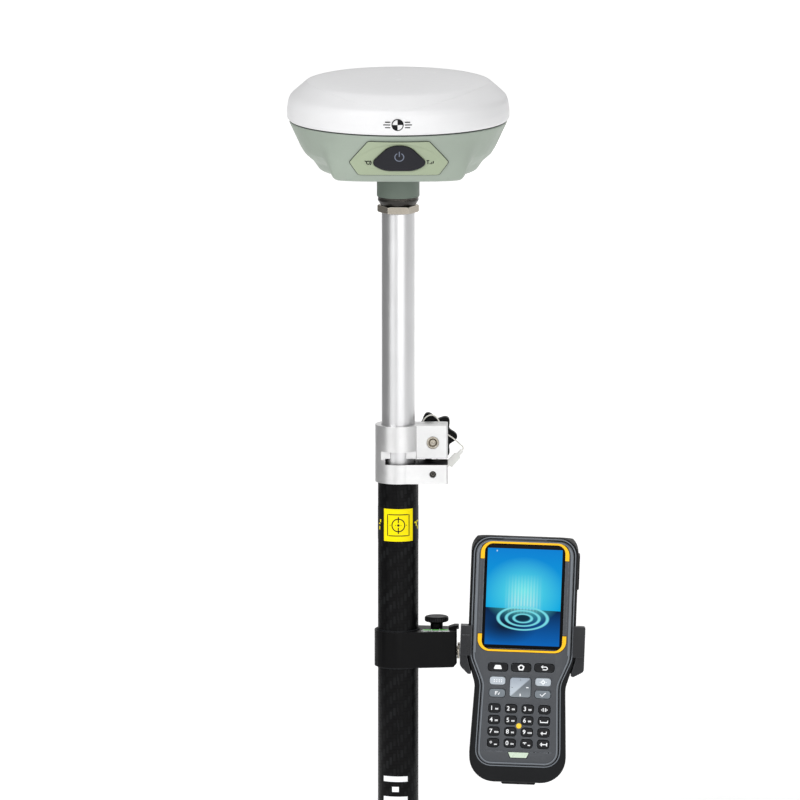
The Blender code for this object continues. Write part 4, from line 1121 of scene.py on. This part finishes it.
def lettering(text, size, u, v, depth):
    """Raised generic characters centred on a point of the controller's front."""
    font = bpy.data.curves.new("text", "FONT")
    font.body = text
    font.size = size
    font.extrude = 0.06
    font.offset = size * 0.012
    font.resolution_u = 4
    font.align_x, font.align_y = "CENTER", "CENTER"
    obj = bpy.data.objects.new("text", font)
    scene.collection.objects.link(obj)
    flat = settle(obj)
    turned = Matrix.Translation((u, FACE_Y - depth, v)) @ Matrix.Rotation(math.radians(90), 4, "X")
    bmesh.ops.transform(flat, matrix=turned, verts=flat.verts)
    return flat


def strokes(u, v, depth, lines, width=0.7):
    """Raised strokes round a point of the controller's front; a closed line repeats its first point."""
    solids = []
    for line in lines:
        closed = line[0] == line[-1]
        points = offset(line[:-1] if closed else line, u, v)
        solids.append(ribbon(points, width, on_face, depth - 0.06, depth + 0.06, closed))
    return solids


def build_screen():
    glass = ease(block(SCREEN, (70.5, 92.4), 5, FACE_Y + 0.1, FACE_Y + 1.3), 0.25, 3)
    held("screen_glass", glass, "glass", "controller", "screen_window")
    where = (0.0, PICTURE_V, 65.7, 86.0)
    held("screen_picture", plaque(rectangle(where[:2], where[2:], 0.3, 2), on_face, -0.2, -0.06), "screen",
         "controller", "display_panel", uv=spread_over(*where))

    def corner_trim(low, high, grow, turn, reach):
        """A U of trim round the upper (turn 1) or lower (turn -1) end of the screen, ending at a reach."""
        end = reach - turn * grow

        def bend(half, rise, radius):
            v = PICTURE_V + turn * rise
            far = v - turn * 200
            path = rounded([(half, far, 0), (half, v, radius), (-half, v, radius), (-half, far, 0)])
            return [(half, end)] + path[1:-1] + [(-half, end)]

        outer, inner = bend(38.9 + grow, 48.9 + grow, 10.5), bend(35.4 - grow, 47.2 - grow, 7.5)
        return plaque(outer + inner[::-1], on_face, low, high)

    for index, (turn, reach) in enumerate(((1, 89.0), (-1, 22.0))):
        held(f"trim_gasket_{index}", corner_trim(-0.1, 0.12, 0.4, turn, reach), "ink", "controller")
        held(f"trim_{index}", corner_trim(0.0, 0.42, 0.0, turn, reach), "trim", "controller")
    for side, name in ((-1, "left"), (1, "right")):
        held(f"screen_groove_{name}",
             ribbon([(side * 37.1, 23.2), (side * 37.1, 87.8)], 3.0, on_face, -0.1, 0.16),
             "face", "controller")
        rail = [(side * 41.3, 5.0), (side * 41.3, 93.0), (side * 40.6, 97.0), (side * 38.6, 100.6)]
        held(f"face_rail_{name}", ribbon(rail, 2.0, on_face, -0.1, 0.3), "rail", "controller")


KINDS = {"soft": ("key_black", -0.45), "side": ("key_grey", 0.15), "pad": ("pad", -0.3),
         "digit": ("key_black", 0.18)}
DIGITS = {"00": 1, "01": 2, "02": 3, "10": 4, "11": 5, "12": 6, "20": 7, "21": 8, "22": 9, "31": 0}
LEVER = [(-2.2, 0.9), (1.4, 0.9), *arc(1.25, 90, -90, 8, (1.4, -0.35)), (-1.4, -1.6)]
PENTAGON = [(2.4 * math.sin(2 * math.pi * k / 5), 2.4 * math.cos(2 * math.pi * k / 5)) for k in range(5)]
HOME = rounded([(3.6, -1.7, 0.5), (2.4, 1.9, 1), (-2.4, 1.9, 1), (-3.6, -1.7, 0.5)], 3)
# Strokes for each key; None stands for the solid home mark.
MARKS = {
    "digit_03": [[(-2.6, 0), (-0.8, 1.5), (-0.8, -1.5), (-2.6, 0)],
                 [(2.6, 0), (0.8, 1.5), (0.8, -1.5), (2.6, 0)]],
    "digit_13": [[(-3.2, 0.9), (-3.2, -0.9), (3.2, -0.9), (3.2, 0.9)]],
    "digit_23": [[(2.4, 1.3), (2.4, -0.5), (-2.2, -0.5)], [(-0.9, 0.8), (-2.4, -0.5), (-0.9, -1.8)]],
    "digit_30": [[(-3.1, 0.6), (-1.1, 0.6)], [(-2.6, -0.3), (-1.6, 1.5)], [(-1.6, -0.3), (-2.6, 1.5)],
                 [(0.8, -1.2), (3.2, -1.2)]],
    "digit_32": [[(-3.2, 1.0), (-0.2, 1.0)], [(-1.7, -0.4), (-1.7, 1.0)], [(1.0, -1.2), (3.2, -1.2)]],
    "digit_33": [[(-2.6, 0), (2.6, 0)], [(-1.1, 1.4), (-2.7, 0), (-1.1, -1.4)], [(3.1, 1.5), (3.1, -1.5)]],
    "soft_0": None,
    "soft_1": [PENTAGON + PENTAGON[:1]],
    "soft_2": [LEVER, [(-1.2, 2.1), (-2.6, 0.9), (-1.2, -0.2)]],
    "side_0": [[(a, b), (a + 0.9, b)] for a in (-3.4, -1.2, 1.0, 3.0) for b in (-0.8, 0.8)],
    "side_1": [arc(1.3, 0, 350, 14) + [(1.3, 0.0)], [(-3.0, 0), (-2.2, 0)], [(2.2, 0), (3.0, 0)],
               [(0, 1.9), (0, 2.5)], [(0, -1.9), (0, -2.5)]],
    "side_2": [[(-1.6, -1.5), (-1.6, 1.4), (0.4, 1.4)], [(-1.6, 0.1), (0.1, 0.1)], [(0.9, -1.5), (2.0, 0.6)]],
    "side_3": [[(-2.3, 0.1), (-0.6, -1.5), (2.5, 1.6)]],
}
MARK_HEIGHTS = {"digit": 0.2, "soft": -0.18, "side": 0.14}
MARK_WIDTHS = {"digit": 0.85, "soft_1": 1.4, "soft_2": 0.8, "side": 0.75}


def build_keys():
    for name, (u, v, w, h) in KEYS.items():
        kind = name.split("_")[1]
        look, dish = KINDS[kind]
        if name in ("key_side_2", "key_side_3"):
            look = "key_slate"
        held(f"{name}_cap", key_cap(u, v, w, h, dish), look, name, name,
             uv=spread_over(u, v, w, h) if kind == "pad" else None)

    def glyph(name, solids):
        held(f"{name}_mark", solids, "white_ink", name)

    for spot, digit in DIGITS.items():
        name = f"key_digit_{spot}"
        u, v, _, _ = KEYS[name]
        bars = [[(k * 0.95, -0.75), (k * 0.95, 0.75)] for k in range(4 if digit in (7, 9) else 3)]
        glyph(name, [lettering(str(digit), 5.4, u - 2.5, v + 0.1, KEY_TOP + 0.14),
                     *strokes(u + 1.0, v - 0.4, KEY_TOP + 0.17, bars, 0.6)])
    for mark, lines in MARKS.items():
        u, v, _, _ = KEYS[f"key_{mark}"]
        kind = mark.split("_")[0]
        if lines is None:
            solids = [plaque(offset(HOME, u, v), on_face, KEY_TOP - 0.3, KEY_TOP - 0.08)]
        else:
            width = MARK_WIDTHS.get(mark, MARK_WIDTHS.get(kind))
            solids = strokes(u, v, KEY_TOP + MARK_HEIGHTS[kind], lines, width)
        glyph(f"key_{mark}", solids)
    u, v, _, _ = KEYS["key_pad"]
    ticks = strokes(u, v, KEY_TOP - 0.02, [[(0, 7.6), (0, 6.2)], [(-7.9, 0), (-6.5, 0)]], 0.5)
    bright = strokes(u, v, KEY_TOP - 0.02, [[(5.0, 0.2), (7.2, 0.2)], [(0, -7.6), (0, -5.4)]], 0.9)
    held("key_pad_ticks", ticks, "rail", "key_pad", slot="white_plastic")
    held("key_pad_marks", bright, "white_ink", "key_pad")


def build_controller():
    """The case slopes at its top and holds the face plate in a seat; screen and keys follow."""
    case = ease(plate(mirrored(CASE), CASE_FRONT, CASE_BACK, 10), 2.5, 5, 60)
    dock = block((1.5, -110.0), (30, 6), 1.5, -7, 7)
    pad = block((46.8, 77.5), (3.2, 31), 1.2, -6, 6)
    top = prism([(-8, 108.6), (20, 102.9), (20, 125), (-8, 125)], -60, 60, "x")
    recess = plate([(21.5, 105.6, 0), (13.5, 110, 0), (-13.5, 110, 0), (-21.5, 105.6, 0)], -16, -13.6)
    case = carve(case, ("+", dock), ("+", pad), ("-", top), ("-", recess))
    seat = plate(mirrored(inset(FACE, -0.3)), -30, -13.0, 10)
    case = carve(case, ("-", seat), solver="MANIFOLD")
    case = carve(case, ("-", plate(mirrored(CAVITY), -13.3, 13.0, 8)))
    held("case_shell", ease(case, 0.25, 2, 50), "rubber", "controller", "controller_case", sharp=40)
    hump = plate([(20.9, 105.9, 0), (13.2, 108.2, 0.6), (-13.2, 108.2, 0.6), (-20.9, 105.9, 0)], -14.6, -13.4)
    held("case_crest", ease(hump, 0.3, 2), "face", "controller")
    face = plate(mirrored(inset(FACE, 0.15)), FACE_Y, -13.3, 10)
    holes = [block(SCREEN, (71.1, 93.0), 5.3, -20, -10)]
    holes += [block((u, v), (w + 0.9, h + 0.9), 2.9, -20, -10) for u, v, w, h in KEYS.values()]
    holes.append(prism(circle(2.6, 32, DOT), -20, FACE_Y + 1.2, "y"))
    holes.append(prism([(-32, -82.7), (29.5, -82.7), (29.5, -82.3), (-32, -82.3)], -20, FACE_Y + 0.4, "y"))
    holes += [prism(circle(0.75, 16, (u, -82.5)), -20, FACE_Y + 1.4, "y") for u in (14.4, 27.0)]
    for hole in holes:
        face = carve(face, ("-", hole))
    held("face_plate", ease(face, 0.3, 2, 50), "face", "controller", "controller_face", sharp=40)
    # The face lip's lighter rail grey is a painted highlight line along the face's edge.
    lip = around(FACE, 1.35)
    held("face_lip", ribbon(lip, 1.0, on_face, -0.1, 0.35, True), "rail", "controller")
    # The case lip is rubber but takes the lighter rail grey: a painted highlight along the case's inner edge.
    rim = around(FACE, -1.5)
    held("case_lip", ribbon(rim, 0.9, lambda u, v, d: (u, CASE_FRONT - d, v), -0.3, 0.45, True), "rail",
         "controller", slot="rubber")
    belt = around(CASE, -0.1)
    core = around(CASE, 0.6)
    bands = []
    for low in (-8.4, 4.6):
        rings = [[(a, y, b) for a, b in outline]
                 for outline, y in ((core, low), (belt, low), (belt, low + 0.5), (core, low + 0.5))]
        slope = prism([(-8.6, 108.5), (20, 102.7), (20, 125), (-8.6, 125)], -60, 60, "x")
        bands.append(carve(loft(rings, True), ("-", slope)))
    held("case_seams", bands, "ink", "controller", slot="rubber")
    build_screen()
    build_keys()
    dot = lathe([(0, FACE_Y - 0.3), (1.2, FACE_Y - 0.25, 0.3), (2.4, FACE_Y + 0.1, 0.3), (2.4, FACE_Y + 1.1),
                 (0, FACE_Y + 1.1)], 40, DOT, "y")
    held("yellow_dot", dot, "dot", "controller")
    badge = rounded([(9.7, -82.9, 0.4), (-8.5, -82.9, 0.4), (-6.4, -87.6, 0.8), (7.6, -87.6, 0.8)], 4)
    under = rounded([(10.4, -82.6, 0.4), (-9.2, -82.6, 0.4), (-6.9, -88.2, 0.8), (8.1, -88.2, 0.8)], 4)
    held("badge_seat", plaque(under, on_face, -0.1, 0.12), "ink", "controller")
    held("badge", plaque(badge, on_face, 0.0, 0.4), "badge", "controller")
    backs = [ribbon(rectangle((0, -52), (60, 66), 6), 0.7, on_back, -0.2, 0.22, True),
             ribbon(rectangle(CAMERA, (26, 18), 5), 0.7, on_back, -0.2, 0.22, True)]
    backs += [ribbon([(-14, v), (14, v)], 1.0, on_back, -0.2, 0.2) for v in (44, 47.4, 50.8, 54.2)]
    held("back_panels", backs, "rail", "controller", slot="rubber")
    lens_ring = lathe([(3.6, 16.2), (5.6, 16.2), (5.6, 16.8, 0.2), (3.6, 16.8, 0.2)], 48, CAMERA, "y")
    held("camera_ring", lens_ring, "nickel", "controller")
    held("camera_window", lathe([(0, 16.2), (3.6, 16.2), (3.6, 16.65), (0, 16.7)], 48, CAMERA, "y"), "glass",
         "controller")
    screws = [socket_head((side * u, v), 2.2, 16.2, 16.75, (0, 0.25), 1.0, (16.4, 18))
              for u, v in ((36, 92), (34, -94), (24, -52)) for side in (-1, 1)]
    held("case_screws", screws, "nickel", "controller")


build_head()
build_pole()
build_clamp()
build_tag()
build_bracket()
build_cradle()
build_controller()
INSIDE = {"tube_foot": "black", "top_fitting": "nickel", "antenna_element": "board", "main_board": "board",
          "controller_battery": "black", "keypad_mat": "rubber"}
for node, look in INSIDE.items():
    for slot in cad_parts[node].material_slots:
        slot.link = "OBJECT"
        slot.material = FINISH[look]

# ---------------------------------------------------------------- stage

def staged(name, solid, finish_name, glow, **inputs):
    """A thing of the stage: its finish glows a little, to stand for the light of a studio."""
    look = Graph(finish_name)
    look.set(Emission_Color=WHITE, Emission_Strength=glow, **inputs)
    obj = linked(name, solid)
    obj.data.materials.append(look.material)
    return obj, look


floor_solid = bmesh.new()
bmesh.ops.create_grid(floor_solid, x_segments=1, y_segments=1, size=30.0)
floor, floor_look = staged("floor", floor_solid, "stage_floor", 0.3, Roughness=0.9)
floor.location.z = -0.0145
floor_tone = floor_look.noise(floor_look.place(), 600.0, 3.0)
floor_look.set(Base_Color=floor_look.mix(floor_tone, rgb(248, 248, 248), rgb(252, 252, 252)))

# The card is seen only in reflections: it gives the metal its dark edge.
card_solid = box((-601, -340, 0), (-600, 1100, 1500))
bmesh.ops.scale(card_solid, vec=(MM, MM, MM), verts=card_solid.verts)
bmesh.ops.recalc_face_normals(card_solid, faces=card_solid.faces)
card, _ = staged("dark_card", card_solid, "stage_card", 0.3, Base_Color=rgb(0, 0, 0), Roughness=1.0,
                 Specular_IOR_Level=0.0)
card.visible_camera = False
card.visible_diffuse = False
card.visible_shadow = False


def sun(name, direction, strength, softness):
    """A soft white light shining from the given (azimuth, elevation), azimuth 0 in front."""
    azimuth, elevation = (math.radians(value) for value in direction)
    light = bpy.data.lights.new(name, "SUN")
    light.energy = strength
    light.angle = math.radians(softness)
    obj = bpy.data.objects.new(name, light)
    towards = Vector((math.sin(azimuth) * math.cos(elevation), -math.cos(azimuth) * math.cos(elevation),
                      math.sin(elevation)))
    obj.rotation_euler = towards.to_track_quat("Z", "Y").to_euler()
    scene.collection.objects.link(obj)


sun("key_light", (-40, 30), 1.25, 34)
sun("strip_light", (19, 8), 1.15, 48)
sun("top_light", (0, 78), 0.5, 60)
sun("back_light", (165, 35), 0.6, 60)
world = bpy.data.worlds.new("studio")
world.use_nodes = True
world_nodes = world.node_tree.nodes
ambient, backdrop = world_nodes["Background"], world_nodes.new("ShaderNodeBackground")
for light_source, strength in ((ambient, 0.3), (backdrop, 1.0)):
    light_source.inputs["Color"].default_value = WHITE
    light_source.inputs["Strength"].default_value = strength
seen = world_nodes.new("ShaderNodeLightPath")
chosen = world_nodes.new("ShaderNodeMixShader")
for source, target in ((seen.outputs["Is Camera Ray"], chosen.inputs[0]),
                       (ambient.outputs[0], chosen.inputs[1]), (backdrop.outputs[0], chosen.inputs[2]),
                       (chosen.outputs[0], world_nodes["World Output"].inputs["Surface"])):
    world.node_tree.links.new(source, target)
scene.world = world
scene.view_settings.view_transform = "Standard"

lens = bpy.data.cameras.new("camera")
lens.sensor_width = 36
lens.lens = 1640.0
lens.clip_start = 1.0
lens.clip_end = 150.0
camera = bpy.data.objects.new("camera", lens)
look_down, distance, aim = math.radians(9.4), 32, Vector((0.0016, 0, 0.4006))
camera.location = aim + distance * Vector((0, -math.cos(look_down), math.sin(look_down)))
camera.rotation_euler = (math.radians(90) - look_down, 0, 0)
scene.collection.objects.link(camera)
scene.camera = camera
